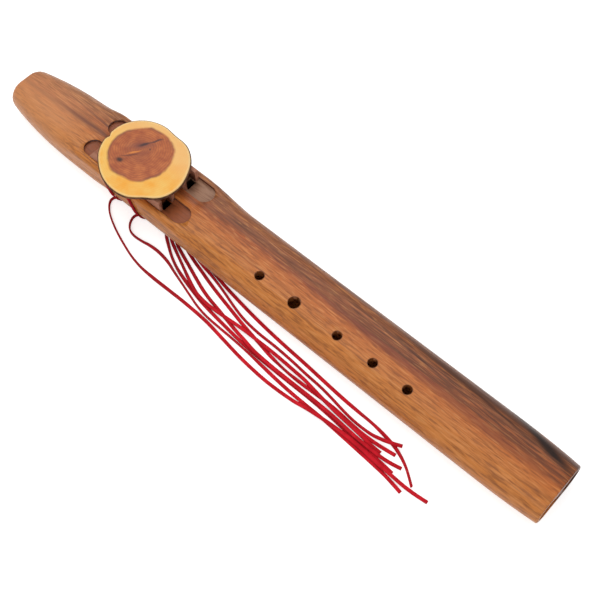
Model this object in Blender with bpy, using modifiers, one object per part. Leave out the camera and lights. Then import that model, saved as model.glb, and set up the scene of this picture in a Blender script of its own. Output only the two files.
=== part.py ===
"""Double flute: two parallel bores in one wide wooden body, with a tied-on block.

The flute lies on its back on the table, finger holes up. Inside this script x runs from the
mouth end (0) to the foot end, y points to the drone side, and z stands on the table. The empty
flute_origin carries every piece and puts the world's origin under the middle of the body.
"""
import math

import bmesh
import bpy
import numpy as np
from mathutils import Matrix, Vector

MM = 0.001

# Clearance between pieces that touch, and between moving pieces
SEAT_GAP = 0.0003

# Body, outside
LENGTH = 0.572
TUBE_WIDTH = 0.0575
THICKNESS = 0.031
TUBE_EDGE_RADIUS = 0.015
NEST_EDGE_RADIUS = 0.0045
UNDER_EDGE_RADIUS = 0.0135
MOUTH_EDGE_RADIUS = 0.0125
MOUTH_TAPER_LENGTH = 0.095
MOUTH_NARROWING = 0.0096
MOUTH_TAPER_POWER = 2.5
MOUTH_CORNER_RADIUS = 0.006
MOUTH_LIP_RADIUS = 0.003
MOUTH_TOP_DROP = 0.0035
MOUTH_UNDER_RISE = 0.004
FOOT_TAPER_LENGTH = 0.052
FOOT_NARROWING = 0.0022
FOOT_CHAMFER = 0.0008
NEST_SQUARE_START = 0.075
NEST_SQUARE_FULL = 0.100
NEST_ROUND_START = 0.200
NEST_ROUND_FULL = 0.250
ARCH_DEPTH = 0.0021
ARCH_START = 0.114
ARCH_END = 0.252
ARCH_RAMP = 0.020

# Bores and air ways
BORE_DIAMETER = 0.019
BORE_OFFSET = 0.014
AIR_CHAMBER_DIAMETER = 0.017
AIR_CHAMBER_START = 0.026
AIR_CHAMBER_END = 0.165
SOUND_CHAMBER_START = 0.1855
BREATH_HOLE_WIDTH = 0.012
BREATH_HOLE_HEIGHT = 0.004
SHARED_CHAMBER_LENGTH = 0.012
SHARED_CHAMBER_HEIGHT = 0.010
FINGER_HOLES = ((0.2941, 0.0080), (0.3305, 0.0104), (0.3741, 0.0080), (0.4091, 0.0080),
                (0.4424, 0.0080))

# Nest slots in the deck
SLOT_START = 0.0965
SLOT_END = 0.2160
SLOT_WIDTH = 0.0175
SLOT_DEPTH = 0.003
WINDOW_LENGTH = 0.0065
AIR_WAY_WIDTH = 0.010
AIR_EXIT_START = 0.158
AIR_EXIT_LENGTH = 0.006
LABIUM_RAMP_LENGTH = 0.011
LABIUM_RAMP_DROP = 0.0017

# Totem block
BLOCK_START = 0.120
BLOCK_RISE = 0.0095
BLOCK_CORNER_RADIUS = 0.007
TONGUE_START = 0.109
PRONG_END = 0.192
PRONG_LENGTH = 0.0105
FLUE_DEPTH = 0.001
FLUE_START = 0.157
SLIDE_TRAVEL = 0.003

# Branch slice on the block
SLICE_CENTRE = (0.156, -0.0033)
SLICE_RADII = (0.0402, 0.0385, 0.0375, 0.0371, 0.0351, 0.0387, 0.0419, 0.0429,
               0.0405, 0.0377, 0.0347, 0.0347, 0.0359, 0.0370, 0.0363, 0.0397)
SLICE_THICKNESS = 0.0045
SLICE_UNDERCUT = 0.0016
BARK_THICKNESS = 0.0015

# Suede lace
LACE_WIDTH = 0.0030
LACE_THICKNESS = 0.0015
TIE_SLANT = 0.45
TIE_FRONT_X = 0.128
TIE_REAR_X = 0.156
KNOT_RADIUS = 0.0027
KNOT_STRAND_RADIUS = 0.0011
KNOT_ANGLE = math.radians(-36)
KNOT_TURNS = ((0.0, 0.5, 0.4), (1.1, 1.6, 0.4), (2.2, 2.7, 0.4))
HEADER_SPACING = 0.0035
HEADER_HITCHES = 6
HEADER_CORE_RADIUS = 0.0014
HEADER_FIRST_X = 0.1795
HEADER_LINE_Y = 0.0310

# Free laces: x, y and height of the middle of the lace in millimetres, and its turn in degrees,
# 0 where it lies flat and 90 where it stands on its edge
LACE_ROUTES = {
    "tie_tail_front": (
        (142.7, -21.8, 1.6, 90), (139.6, -23.6, 1.6, 90), (137.0, -26.6, 1.6, 90), (136.8, -30.2, 1.6, 90),
        (139.8, -35.0, 1.6, 90), (146.5, -40.5, 1.6, 90), (157, -46, 1.6, 90), (168, -50.5, 1.6, 90),
        (180, -54.6, 1.6, 90), (192, -58.0, 1.6, 90), (205, -60.0, 1.6, 80), (220, -60.3, 1.4, 45),
        (235, -59.9, 0.9, 0), (255, -59.7, 0.8, 0), (278, -60.6, 0.8, 0), (300, -63.4, 0.8, 0),
        (322, -66.2, 0.8, 0), (345, -67.7, 0.8, 0), (362, -67.4, 0.8, 0), (376, -66.3, 0.8, 0),
        (388, -65.0, 2.7, 0), (403, -63.3, 2.7, 0), (418, -62.2, 2.7, 0), (435, -62.0, 2.7, 0),
        (452, -63.0, 2.7, 0), (474, -64.0, 2.7, 0), (484, -63.8, 1.4, 0), (493, -63.1, 0.8, 0),
        (503, -62.0, 0.8, 0)),
    "tie_tail_rear": (
        (170.7, -21.6, 1.6, 90), (167.6, -22.8, 1.6, 90), (164.6, -25.2, 1.6, 90), (163.4, -28.5, 1.6, 90),
        (164.2, -32.5, 1.6, 90), (166.8, -37.0, 1.6, 90), (171.0, -40.6, 1.6, 90), (177.5, -42.2, 1.6, 90),
        (186, -41.6, 1.6, 90), (194, -40.2, 1.6, 70), (204, -39.9, 1.6, 60), (216, -41.6, 1.6, 60),
        (228, -45.3, 1.6, 80), (240, -48.8, 1.6, 90), (252, -52.3, 1.6, 90), (264, -55.6, 1.6, 90),
        (276, -57.4, 1.6, 90), (290, -58.0, 1.6, 90), (306, -58.4, 1.6, 90), (322, -59.2, 1.6, 90),
        (338, -60.3, 1.4, 45), (352, -61.3, 0.9, 0), (368, -62.2, 0.8, 0), (385, -62.5, 0.8, 0),
        (403, -62.6, 0.8, 0), (420, -63.4, 0.8, 0), (438, -64.4, 0.8, 0), (455, -65.4, 0.8, 0),
        (468, -66.5, 0.8, 0), (483.5, -69.0, 0.8, 0)),
    "fringe_lace_1": (
        (197, 27, 0.8, 0), (198, 15.5, 0.8, 0), (201.5, 4, 0.8, 0), (209, -6, 0.8, 0), (220, -14, 0.8, 0),
        (234, -19.6, 0.8, 0), (249, -23.2, 0.8, 0), (264, -26.4, 0.8, 0), (280, -29.0, 0.8, 0),
        (300, -31.7, 0.8, 0), (320, -33.8, 0.8, 0), (340, -35.3, 0.8, 0), (362, -36.6, 0.8, 0),
        (382, -38.1, 0.8, 0), (402, -39.6, 1.1, 20), (418, -40.4, 1.5, 60), (433, -40.8, 1.6, 75),
        (446, -42.1, 1.4, 45), (457, -44.1, 1.4, 45), (466, -47.2, 1.5, 60), (474, -51.2, 1.6, 80),
        (481, -56.0, 1.6, 80), (487, -60.5, 1.6, 80)),
    "fringe_lace_2": (
        (193.5, 27, 0.8, 0), (194, 16, 0.8, 0), (197, 4.5, 0.8, 0), (203.5, -6, 0.8, 0), (213, -14.6, 0.8, 0),
        (225, -20.6, 0.8, 0), (239, -24.6, 1.2, 30), (252, -27.2, 1.5, 60), (264, -30.1, 1.6, 80),
        (275, -33.2, 1.6, 80), (285, -36.1, 1.6, 80), (295, -38.6, 1.6, 80), (305, -40.2, 1.6, 80),
        (318, -41.1, 1.6, 80), (335, -41.1, 1.6, 80), (352, -41.8, 1.6, 80), (368, -43.0, 1.6, 80),
        (384, -43.9, 1.6, 80), (396, -45.3, 1.6, 80), (408, -47.1, 1.6, 80), (419, -48.4, 1.6, 80),
        (429, -48.7, 1.6, 80), (439, -48.2, 1.9, 70), (447, -46.8, 3.2, 50), (453, -45.2, 4.2, 45),
        (458, -43.2, 4.3, 45), (462.5, -41.0, 3.9, 45)),
    "fringe_lace_3": (
        (190, 27, 0.8, 0), (190.3, 16, 0.8, 0), (192.5, 5, 0.8, 0), (198, -6, 0.8, 0), (206, -15, 0.8, 0),
        (217, -21.3, 0.8, 0), (230, -25.9, 0.8, 0), (243, -29.5, 0.8, 0), (256, -33.1, 0.8, 0),
        (268, -36.0, 0.8, 0), (279, -38.4, 0.8, 0), (290, -40.8, 0.8, 0), (301, -43.2, 1.2, 30),
        (311, -45.0, 1.1, 20), (323, -47.0, 0.8, 0), (334, -49.0, 0.8, 0), (345, -50.6, 1.5, 70),
        (358, -51.5, 1.6, 80), (371, -51.3, 1.2, 30), (383, -50.6, 0.8, 0), (395, -50.2, 0.8, 0),
        (407, -50.4, 0.8, 0), (419, -51.3, 0.8, 0), (431, -51.9, 0.8, 0), (443, -51.5, 0.8, 0),
        (453, -50.4, 0.8, 0), (462.5, -49.0, 0.8, 0)),
    "fringe_lace_4": (
        (183, 27, 0.8, 0), (183, 17.5, 0.8, 0), (184, 7, 0.8, 0), (187.5, -4.5, 0.8, 0), (193.5, -15, 0.8, 0),
        (202, -23.3, 0.8, 0), (211, -28.3, 1.3, 40), (221, -33.0, 1.5, 60), (231, -37.6, 1.8, 60),
        (238, -40.9, 2.4, 45), (245, -44.0, 2.9, 0), (256, -47.9, 2.8, 0), (268, -49.3, 2.7, 0),
        (278, -49.1, 2.7, 0), (288, -48.4, 2.7, 0), (300, -47.4, 2.7, 0), (312, -46.9, 2.8, 0),
        (323, -46.8, 2.8, 0), (335, -46.6, 2.7, 0), (348, -46.6, 2.0, 0), (360, -47.0, 1.7, 0),
        (371, -47.9, 2.7, 0), (381, -49.2, 2.7, 0), (396, -51.2, 2.7, 0), (408, -52.5, 2.7, 0),
        (420, -53.4, 2.7, 0), (432, -54.3, 2.7, 0), (443, -54.9, 1.5, 0), (453, -54.9, 0.8, 0)),
    "fringe_lace_5": (
        (186.5, 27, 0.8, 0), (186.5, 17, 0.8, 0), (188, 6, 0.8, 0), (192, -5, 0.8, 0), (199, -15.5, 0.8, 0),
        (209, -23.6, 0.8, 0), (220, -28.3, 0.8, 0), (232, -32.7, 0.8, 0), (244, -37.2, 0.8, 0),
        (256, -41.4, 0.9, 10), (267, -44.4, 1.4, 45), (277, -46.2, 1.2, 30), (287, -48.2, 0.8, 0),
        (298, -50.4, 0.9, 10), (306, -52.0, 1.6, 0), (313, -53.3, 2.7, 0), (326, -55.4, 2.7, 0),
        (345, -56.2, 2.7, 0), (365, -56.2, 2.7, 0), (385, -56.0, 2.7, 0), (405, -56.3, 2.7, 0),
        (420, -57.2, 2.7, 0), (432, -57.9, 2.7, 0), (445, -58.1, 2.7, 0), (456, -57.5, 1.9, 0),
        (465, -55.9, 0.8, 0), (472.5, -54.2, 0.8, 0)),
    "fringe_lace_6": (
        (179.5, 27, 0.8, 0), (179.5, 18, 0.8, 0), (180.5, 8, 0.8, 0), (183, -3, 0.8, 0), (188, -14, 0.8, 0),
        (196, -23.2, 0.8, 0), (205, -29.6, 1.3, 40), (215, -35.8, 1.5, 60), (226, -40.8, 1.5, 60),
        (238, -44.4, 1.1, 20), (250, -47.4, 0.8, 0), (262, -50.0, 0.8, 0), (276, -52.0, 0.8, 0),
        (292, -53.7, 0.8, 0), (308, -55.3, 0.8, 0), (325, -56.3, 0.8, 0), (345, -56.6, 0.8, 0),
        (365, -56.6, 0.8, 0), (385, -56.5, 0.8, 0), (405, -57.2, 0.8, 0), (420, -58.3, 0.8, 0),
        (435, -59.4, 0.8, 0), (450, -60.1, 0.8, 0), (469.5, -61.5, 0.8, 0)),
}
LACE_STEP = 3 * LACE_WIDTH
TABLE_GAP = 0.00005

# Facet counts
CORNER_STEPS = 6
BORE_SIDES = 28
HOLE_SIDES = 24
SLICE_SIDES = 64
KNOT_SEGMENTS = 18
KNOT_SIDES = 8
HEADER_SIDES = 14

# Worked out from the sizes above
HALF_WIDTH = TUBE_WIDTH / 2
GLUE_HEIGHT = THICKNESS / 2
SLOT_FLOOR = THICKNESS - SLOT_DEPTH
TONGUE_WIDTH = SLOT_WIDTH - 2 * SEAT_GAP
PRONG_ROOT = PRONG_END - PRONG_LENGTH
BLOCK_HALF_WIDTH = BORE_OFFSET + TONGUE_WIDTH / 2
BLOCK_BOTTOM = THICKNESS + SEAT_GAP
BLOCK_TOP = THICKNESS + BLOCK_RISE
GROOVE_FLOOR = BLOCK_TOP - LACE_THICKNESS - 2 * SEAT_GAP
WINDOW_END = SOUND_CHAMBER_START + WINDOW_LENGTH
SIDES = (-1, 1)


def clear_scene():
    for item in list(bpy.data.objects):
        bpy.data.objects.remove(item, do_unlink=True)


def make_material(name, colour, roughness):
    material = bpy.data.materials.new(name)
    material.use_nodes = True
    shader = material.node_tree.nodes["Principled BSDF"]
    shader.inputs["Base Color"].default_value = (*colour, 1.0)
    shader.inputs["Roughness"].default_value = roughness
    shader.inputs["Metallic"].default_value = 0.0
    return material


def ease(x, start, end):
    """0 before start, 1 after end, and a smooth change between them."""
    t = min(max((x - start) / (end - start), 0.0), 1.0)
    return t * t * (3 - 2 * t)


def corner_loss(distance, radius):
    """How far a rounded corner of this radius stands back, at a distance from its end."""
    reach = max(radius - distance, 0.0)
    return radius - math.sqrt(radius ** 2 - reach ** 2)


def half_width(x):
    mouth = max(1 - x / MOUTH_TAPER_LENGTH, 0.0) ** MOUTH_TAPER_POWER
    foot = max((x - LENGTH + FOOT_TAPER_LENGTH) / FOOT_TAPER_LENGTH, 0.0) ** 2
    end_rounding = corner_loss(x, MOUTH_CORNER_RADIUS) + max(x - LENGTH + FOOT_CHAMFER, 0.0)
    return HALF_WIDTH - MOUTH_NARROWING * mouth - FOOT_NARROWING * foot - end_rounding


def top_height(x):
    mouth = max(1 - x / MOUTH_TAPER_LENGTH, 0.0) ** 2
    end_rounding = corner_loss(x, MOUTH_LIP_RADIUS) + max(x - LENGTH + FOOT_CHAMFER, 0.0)
    return THICKNESS - MOUTH_TOP_DROP * mouth - end_rounding


def under_height(x):
    """Height of the underside: an easy arch under the ties, and a rise towards the mouth."""
    arch = ease(x, ARCH_START, ARCH_START + ARCH_RAMP) - ease(x, ARCH_END - ARCH_RAMP, ARCH_END)
    mouth = max(1 - x / MOUTH_TAPER_LENGTH, 0.0) ** 2
    end_rounding = corner_loss(x, MOUTH_LIP_RADIUS) + max(x - LENGTH + FOOT_CHAMFER, 0.0)
    return ARCH_DEPTH * arch + MOUTH_UNDER_RISE * mouth + end_rounding


def top_radius(x):
    square = ease(x, NEST_SQUARE_START, NEST_SQUARE_FULL) - ease(x, NEST_ROUND_START, NEST_ROUND_FULL)
    plain = MOUTH_EDGE_RADIUS if x < NEST_SQUARE_FULL else TUBE_EDGE_RADIUS
    radius = plain + (NEST_EDGE_RADIUS - plain) * square
    return min(radius, top_height(x) - GLUE_HEIGHT - SEAT_GAP)


def under_radius(x):
    return min(UNDER_EDGE_RADIUS, GLUE_HEIGHT - under_height(x) - SEAT_GAP)


def arc(centre, radius, start, end, steps):
    """Points of an arc, as pairs."""
    angles = [start + (end - start) * k / steps for k in range(steps + 1)]
    return [(centre[0] + radius * math.cos(a), centre[1] + radius * math.sin(a)) for a in angles]


def top_edge(x):
    """Outline of the upper half at x, as y and z pairs, from the drone side over the top."""
    y = half_width(x) - top_radius(x)
    z = top_height(x) - top_radius(x)
    quarter = math.pi / 2
    return (arc((y, z), top_radius(x), 0, quarter, CORNER_STEPS)
            + arc((-y, z), top_radius(x), quarter, math.pi, CORNER_STEPS))


def under_edge(x):
    """Outline of the lower half at x, from the melody side under the body."""
    y = half_width(x) - under_radius(x)
    z = under_height(x) + under_radius(x)
    quarter = math.pi / 2
    return (arc((-y, z), under_radius(x), math.pi, 3 * quarter, CORNER_STEPS)
            + arc((y, z), under_radius(x), 3 * quarter, 4 * quarter, CORNER_STEPS))


def body_stations():
    """Places along the body where its section is given, close together where it changes."""
    lip = [MOUTH_LIP_RADIUS * f for f in (0, 0.12, 0.4, 1)] + [MOUTH_CORNER_RADIUS]
    taper = [MOUTH_TAPER_LENGTH * f for f in (0.16, 0.3, 0.45, 0.6, 0.76)]
    nest = [NEST_SQUARE_START + (NEST_SQUARE_FULL - NEST_SQUARE_START) * f for f in (0.25, 0.5, 0.75, 1)]
    arch_in = [ARCH_START + ARCH_RAMP * f for f in (0, 0.3, 0.7, 1)]
    shoulder = [NEST_ROUND_START + (NEST_ROUND_FULL - NEST_ROUND_START) * f for f in (0, 0.2, 0.4, 0.6, 0.8)]
    arch_out = [ARCH_END - ARCH_RAMP * f for f in (0.7, 0.35, 0)]
    foot = [LENGTH - FOOT_TAPER_LENGTH * f for f in (1, 0.7, 0.45, 0.2)]
    return sorted(lip + taper + nest + arch_in + shoulder + arch_out + foot + [LENGTH - FOOT_CHAMFER, LENGTH])


def new_object(name, mesh, collection, material=None):
    item = bpy.data.objects.new(name, mesh)
    collection.objects.link(item)
    item.parent = origin
    if material:
        mesh.materials.append(material)
    return item


def mesh_from(name, build):
    """A mesh from a function that fills a bmesh, with its faces turned outwards."""
    mesh = bpy.data.meshes.new(name)
    work = bmesh.new()
    build(work)
    bmesh.ops.recalc_face_normals(work, faces=work.faces)
    work.to_mesh(mesh)
    work.free()
    return mesh


def loft(work, rings, endless=False):
    """Faces between rings of as many points each; closed by two end faces, or into a hoop."""
    loops = [[work.verts.new(point) for point in ring] for ring in rings]
    pairs = list(zip(loops, loops[1:]))
    if endless:
        pairs.append((loops[-1], loops[0]))
    for near, far in pairs:
        count = len(near)
        for k in range(count):
            work.faces.new((near[k], near[(k + 1) % count], far[(k + 1) % count], far[k]))
    if not endless:
        work.faces.new(loops[0])
        work.faces.new(loops[-1])


def prism(work, outline, low, high):
    """An outline in x and y, raised from one height to another."""
    loft(work, [[(x, y, low) for x, y in outline], [(x, y, high) for x, y in outline]])


def box_mesh(name, low, high):
    size = Vector(high) - Vector(low)
    middle = (Vector(high) + Vector(low)) / 2
    place = Matrix.Translation(middle) @ Matrix.Diagonal((*size, 1))
    return mesh_from(name, lambda work: bmesh.ops.create_cube(work, size=1, matrix=place))


def cylinder_mesh(name, diameter, length, sides):
    """A closed cylinder along z, centred on its own middle."""
    def build(work):
        bmesh.ops.create_cone(work, cap_ends=True, segments=sides, radius1=diameter / 2,
                              radius2=diameter / 2, depth=length)
    return mesh_from(name, build)


def stadium(start, end, centre_y, width, steps=12):
    """Outline of a slot with round ends, from start to end along x."""
    radius = width / 2
    turn = math.pi / 2
    return (arc((end - radius, centre_y), radius, -turn, turn, steps)
            + arc((start + radius, centre_y), radius, turn, 3 * turn, steps))


def cutter(name, mesh):
    item = new_object(name, mesh, cutters)
    item.hide_render = True
    item.display_type = "WIRE"
    return item


def apply_boolean(target, tool, operation):
    step = target.modifiers.new(tool.name, "BOOLEAN")
    step.object = tool
    step.operation = operation
    step.solver = "EXACT"


def cut(target, *tools):
    for tool in tools:
        apply_boolean(target, tool, "DIFFERENCE")


def smooth(item, angle=35):
    item.data.shade_smooth()
    item.data.set_sharp_from_angle(angle=math.radians(angle))


def body_half(name, edge, glue, material):
    """One glued half: sections from its outline, closed by the flat glue face."""
    rings = []
    for x in body_stations():
        outline = edge(x)
        first = (x, outline[0][0], glue)
        last = (x, outline[-1][0], glue)
        rings.append([first] + [(x, y, z) for y, z in outline] + [last])
    half = new_object(name, mesh_from(name, lambda work: loft(work, rings)), parts, material)
    smooth(half)
    return half


def bore_cutter(name, y, start, end, diameter):
    """A cutter along x for a round bore on the glue line."""
    tool = cutter(name, cylinder_mesh(name, diameter, end - start, BORE_SIDES))
    tool.rotation_euler = (0, math.pi / 2, 0)
    tool.location = ((start + end) / 2, y, GLUE_HEIGHT)
    return tool


def air_way_cutters():
    """Bores, air chambers, breath hole and shared chamber, all on the glue line."""
    tools = []
    for side, label in zip(SIDES, ("melody", "drone")):
        y = side * BORE_OFFSET
        tools.append(bore_cutter(label + "_bore", y, SOUND_CHAMBER_START, LENGTH + BORE_DIAMETER,
                                 BORE_DIAMETER))
        tools.append(bore_cutter(label + "_air_chamber", y, AIR_CHAMBER_START, AIR_CHAMBER_END,
                                 AIR_CHAMBER_DIAMETER))
    reach = BORE_OFFSET
    rise = SHARED_CHAMBER_HEIGHT / 2
    shared = box_mesh("shared_chamber", (AIR_CHAMBER_START, -reach, GLUE_HEIGHT - rise),
                      (AIR_CHAMBER_START + SHARED_CHAMBER_LENGTH, reach, GLUE_HEIGHT + rise))
    tools.append(cutter("shared_chamber", shared))
    breath_end = AIR_CHAMBER_START + SHARED_CHAMBER_LENGTH / 2
    wide = BREATH_HOLE_WIDTH / 2
    high = BREATH_HOLE_HEIGHT / 2
    breath = box_mesh("breath_hole", (-BREATH_HOLE_WIDTH, -wide, GLUE_HEIGHT - high),
                      (breath_end, wide, GLUE_HEIGHT + high))
    tools.append(cutter("breath_hole", breath))
    return tools


def deck_cutters():
    """Nest slots, windows, air exits and the ramps to the sounding edges."""
    tools = []
    above = THICKNESS + SLOT_DEPTH
    for side, label in zip(SIDES, ("melody", "drone")):
        y = side * BORE_OFFSET
        half_way = AIR_WAY_WIDTH / 2
        outline = stadium(SLOT_START, SLOT_END, y, SLOT_WIDTH)
        slot = mesh_from(label + "_slot", lambda work: prism(work, outline, SLOT_FLOOR, above))
        window = box_mesh(label + "_window", (SOUND_CHAMBER_START, y - half_way, GLUE_HEIGHT),
                          (WINDOW_END, y + half_way, above))
        air_exit = box_mesh(label + "_air_exit", (AIR_EXIT_START, y - half_way, GLUE_HEIGHT),
                            (AIR_EXIT_START + AIR_EXIT_LENGTH, y + half_way, above))
        ramp_rings = [[(WINDOW_END - LABIUM_RAMP_DROP, py, SLOT_FLOOR - LABIUM_RAMP_DROP),
                       (WINDOW_END + LABIUM_RAMP_LENGTH, py, SLOT_FLOOR),
                       (WINDOW_END + LABIUM_RAMP_LENGTH, py, above),
                       (WINDOW_END - LABIUM_RAMP_DROP, py, above)] for py in (y - half_way, y + half_way)]
        ramp = mesh_from(label + "_ramp", lambda work: loft(work, ramp_rings))
        for mesh in (slot, window, air_exit, ramp):
            tools.append(cutter(mesh.name, mesh))
    return tools


def finger_hole_cutters():
    """Five holes down into the melody bore."""
    tools = []
    for number, (x, diameter) in enumerate(FINGER_HOLES, 1):
        name = "finger_hole_%d" % number
        tool = cutter(name, cylinder_mesh(name, diameter, THICKNESS, HOLE_SIDES))
        tool.location = (x, -BORE_OFFSET, GLUE_HEIGHT + THICKNESS / 2)
        tools.append(tool)
    return tools


def make_body():
    air_ways = air_way_cutters()
    top = body_half("body_top_half", top_edge, GLUE_HEIGHT + SEAT_GAP / 2, make_material(
        "oiled_wood", (0.42, 0.17, 0.06), 0.45))
    cut(top, *air_ways, *deck_cutters(), *finger_hole_cutters())
    bottom = body_half("body_bottom_half", under_edge, GLUE_HEIGHT - SEAT_GAP / 2, make_material(
        "oiled_wood_under", (0.40, 0.16, 0.06), 0.45))
    cut(bottom, *air_ways)


def block_outline():
    """Outline of the tall part of the block, with rounded corners towards the mouth."""
    radius = BLOCK_CORNER_RADIUS
    turn = math.pi / 2
    y = BLOCK_HALF_WIDTH - radius
    corners = (arc((BLOCK_START + radius, y), radius, turn, math.pi, CORNER_STEPS)
               + arc((BLOCK_START + radius, -y), radius, math.pi, 3 * turn, CORNER_STEPS))
    return corners + [(PRONG_END, -BLOCK_HALF_WIDTH), (PRONG_END, BLOCK_HALF_WIDTH)]


def make_block():
    """The block: two tongues in the slots, four prongs round the windows, grooves for the ties."""
    outline = block_outline()
    mesh = mesh_from("totem_block", lambda work: prism(work, outline, BLOCK_BOTTOM, BLOCK_TOP))
    block = new_object("totem_block", mesh, parts, make_material("block_wood", (0.40, 0.20, 0.13), 0.55))
    for side, label in zip(SIDES, ("melody", "drone")):
        y = side * BORE_OFFSET
        half = TONGUE_WIDTH / 2
        tongue = box_mesh(label + "_tongue", (TONGUE_START, y - half, SLOT_FLOOR + SEAT_GAP),
                          (PRONG_END, y + half, BLOCK_BOTTOM + SEAT_GAP))
        apply_boolean(block, cutter(label + "_tongue", tongue), "UNION")
        half_way = AIR_WAY_WIDTH / 2
        notch = box_mesh(label + "_notch", (PRONG_ROOT, y - half_way, SLOT_FLOOR - SLOT_DEPTH),
                         (PRONG_END + PRONG_LENGTH, y + half_way, BLOCK_TOP + BLOCK_RISE))
        flue = box_mesh(label + "_flue", (FLUE_START, y - half_way, SLOT_FLOOR - SLOT_DEPTH),
                        (PRONG_ROOT + PRONG_LENGTH / 2, y + half_way, SLOT_FLOOR + SEAT_GAP + FLUE_DEPTH))
        cut(block, cutter(label + "_notch", notch), cutter(label + "_flue", flue))
    inner = BORE_OFFSET - TONGUE_WIDTH / 2
    middle = box_mesh("middle_notch", (PRONG_ROOT, -inner, SLOT_FLOOR - SLOT_DEPTH),
                      (PRONG_END + PRONG_LENGTH, inner, BLOCK_TOP + BLOCK_RISE))
    cut(block, cutter("middle_notch", middle))
    half_groove = LACE_WIDTH / 2 + SLIDE_TRAVEL + SEAT_GAP + TIE_SLANT * LACE_THICKNESS
    for x, label in ((TIE_FRONT_X, "front"), (TIE_REAR_X, "rear")):
        groove = box_mesh(label + "_groove", (x - half_groove, -TUBE_WIDTH, GROOVE_FLOOR),
                          (x + half_groove, TUBE_WIDTH, BLOCK_TOP + BLOCK_RISE))
        cut(block, cutter(label + "_groove", groove))
    smooth(block)


def slice_outline(inset):
    """The slice's outline: radii at even angles, joined by a smooth closed curve, less an inset."""
    radii = np.array(SLICE_RADII)
    count = len(radii)
    places = np.arange(SLICE_SIDES) * count / SLICE_SIDES
    index = places.astype(int)
    t = places - index
    before, start, end, after = (radii[(index + shift) % count] for shift in (-1, 0, 1, 2))
    slope_in = (end - before) / 2
    slope_out = (after - start) / 2
    smooth_radius = ((2 * t ** 3 - 3 * t ** 2 + 1) * start + (t ** 3 - 2 * t ** 2 + t) * slope_in
                     + (3 * t ** 2 - 2 * t ** 3) * end + (t ** 3 - t ** 2) * slope_out)
    angles = np.arange(SLICE_SIDES) * 2 * math.pi / SLICE_SIDES
    reach = smooth_radius - inset
    centre_x, centre_y = SLICE_CENTRE
    return [(centre_x + r * math.cos(a), centre_y + r * math.sin(a)) for r, a in zip(reach, angles)]


def slice_ring(inset, height):
    return [(x, y, height) for x, y in slice_outline(inset)]


def make_slice():
    """The branch slice, and its bark as a hoop round it."""
    low = BLOCK_TOP + SEAT_GAP
    high = low + SLICE_THICKNESS
    middle = (low + high) / 2
    edge = BARK_THICKNESS + SEAT_GAP
    wood = [slice_ring(edge + SLICE_UNDERCUT, low), slice_ring(edge, middle), slice_ring(edge, high)]
    disc = new_object("totem_slice", mesh_from("totem_slice", lambda work: loft(work, wood)), parts,
                      make_material("slice_wood", (0.62, 0.33, 0.12), 0.5))
    smooth(disc)
    skin = BARK_THICKNESS
    rounding = BARK_THICKNESS / 3
    rim = high - rounding / 2
    hoop = [slice_ring(skin + SLICE_UNDERCUT, low), slice_ring(skin, middle), slice_ring(skin, rim),
            slice_ring(rounding, rim), slice_ring(0, high - 2 * rounding),
            slice_ring(0, middle - rounding), slice_ring(SLICE_UNDERCUT, low)]
    bark_mesh = mesh_from("slice_bark", lambda work: loft(work, hoop, endless=True))
    bark = new_object("slice_bark", bark_mesh, parts, make_material("bark", (0.10, 0.055, 0.035), 0.85))
    smooth(bark)


def hull(points):
    """Convex outline of a set of points, in turning order."""
    points = sorted(set((round(y, 7), round(z, 7)) for y, z in points))

    def half_hull(ordered):
        kept = []
        for point in ordered:
            while len(kept) > 1:
                (ay, az), (by, bz) = kept[-2], kept[-1]
                if (by - ay) * (point[1] - az) - (bz - az) * (point[0] - ay) > 0:
                    break
                kept.pop()
            kept.append(point)
        return kept[:-1]

    return half_hull(points) + half_hull(reversed(points))


def taut_line(x, distance):
    """A taut loop round body and block at x, this far outside them, as y and z pairs."""
    corners = top_edge(x) + under_edge(x)
    corners += [(side * BLOCK_HALF_WIDTH, GROOVE_FLOOR) for side in SIDES]
    swollen = []
    for y, z in corners:
        swollen += arc((y, z), distance, 0, 2 * math.pi, 12)
    return hull(swollen)


def thin_out(outline, spacing):
    """The outline's points, leaving out those that follow closer than the spacing."""
    kept = [outline[0]]
    for point in outline[1:]:
        if math.dist(point, kept[-1]) >= spacing:
            kept.append(point)
    return kept


def make_tie_loop(name, x, material):
    """A flat lace round body and block. It leans: lower down it lies nearer the foot end."""
    middle = x + TIE_SLANT * GLUE_HEIGHT
    curve = bpy.data.curves.new(name, "CURVE")
    curve.dimensions = "2D"
    curve.fill_mode = "BOTH"
    curve.extrude = LACE_WIDTH / 2
    for distance in (SEAT_GAP, SEAT_GAP + LACE_THICKNESS):
        outline = thin_out(taut_line(middle, distance), SEAT_GAP)
        spline = curve.splines.new("POLY")
        spline.points.add(len(outline) - 1)
        spline.use_cyclic_u = True
        for point, (y, z) in zip(spline.points, outline):
            point.co = (y, z, 0, 1)
    shape = bpy.data.objects.new(name + "_outline", curve)
    bpy.context.scene.collection.objects.link(shape)
    bpy.context.view_layer.update()
    mesh = bpy.data.meshes.new_from_object(shape.evaluated_get(bpy.context.evaluated_depsgraph_get()))
    bpy.data.objects.remove(shape, do_unlink=True)
    work = bmesh.new()
    work.from_mesh(mesh)
    bmesh.ops.remove_doubles(work, verts=work.verts, dist=0.000001)
    work.to_mesh(mesh)
    work.free()
    stand = Matrix(((0, 0, 1, 0), (1, 0, 0, 0), (0, 1, 0, 0), (0, 0, 0, 1)))
    lean = Matrix.Identity(4)
    lean[0][2] = -TIE_SLANT
    lean[0][3] = x + TIE_SLANT * BLOCK_TOP
    mesh.transform(lean @ stand)
    mesh.name = name
    loop = new_object(name, mesh, parts, material)
    smooth(loop)


def tie_x(x, height):
    """Where along the flute a leaning tie lies at a height."""
    return x + TIE_SLANT * (BLOCK_TOP - height)


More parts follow.
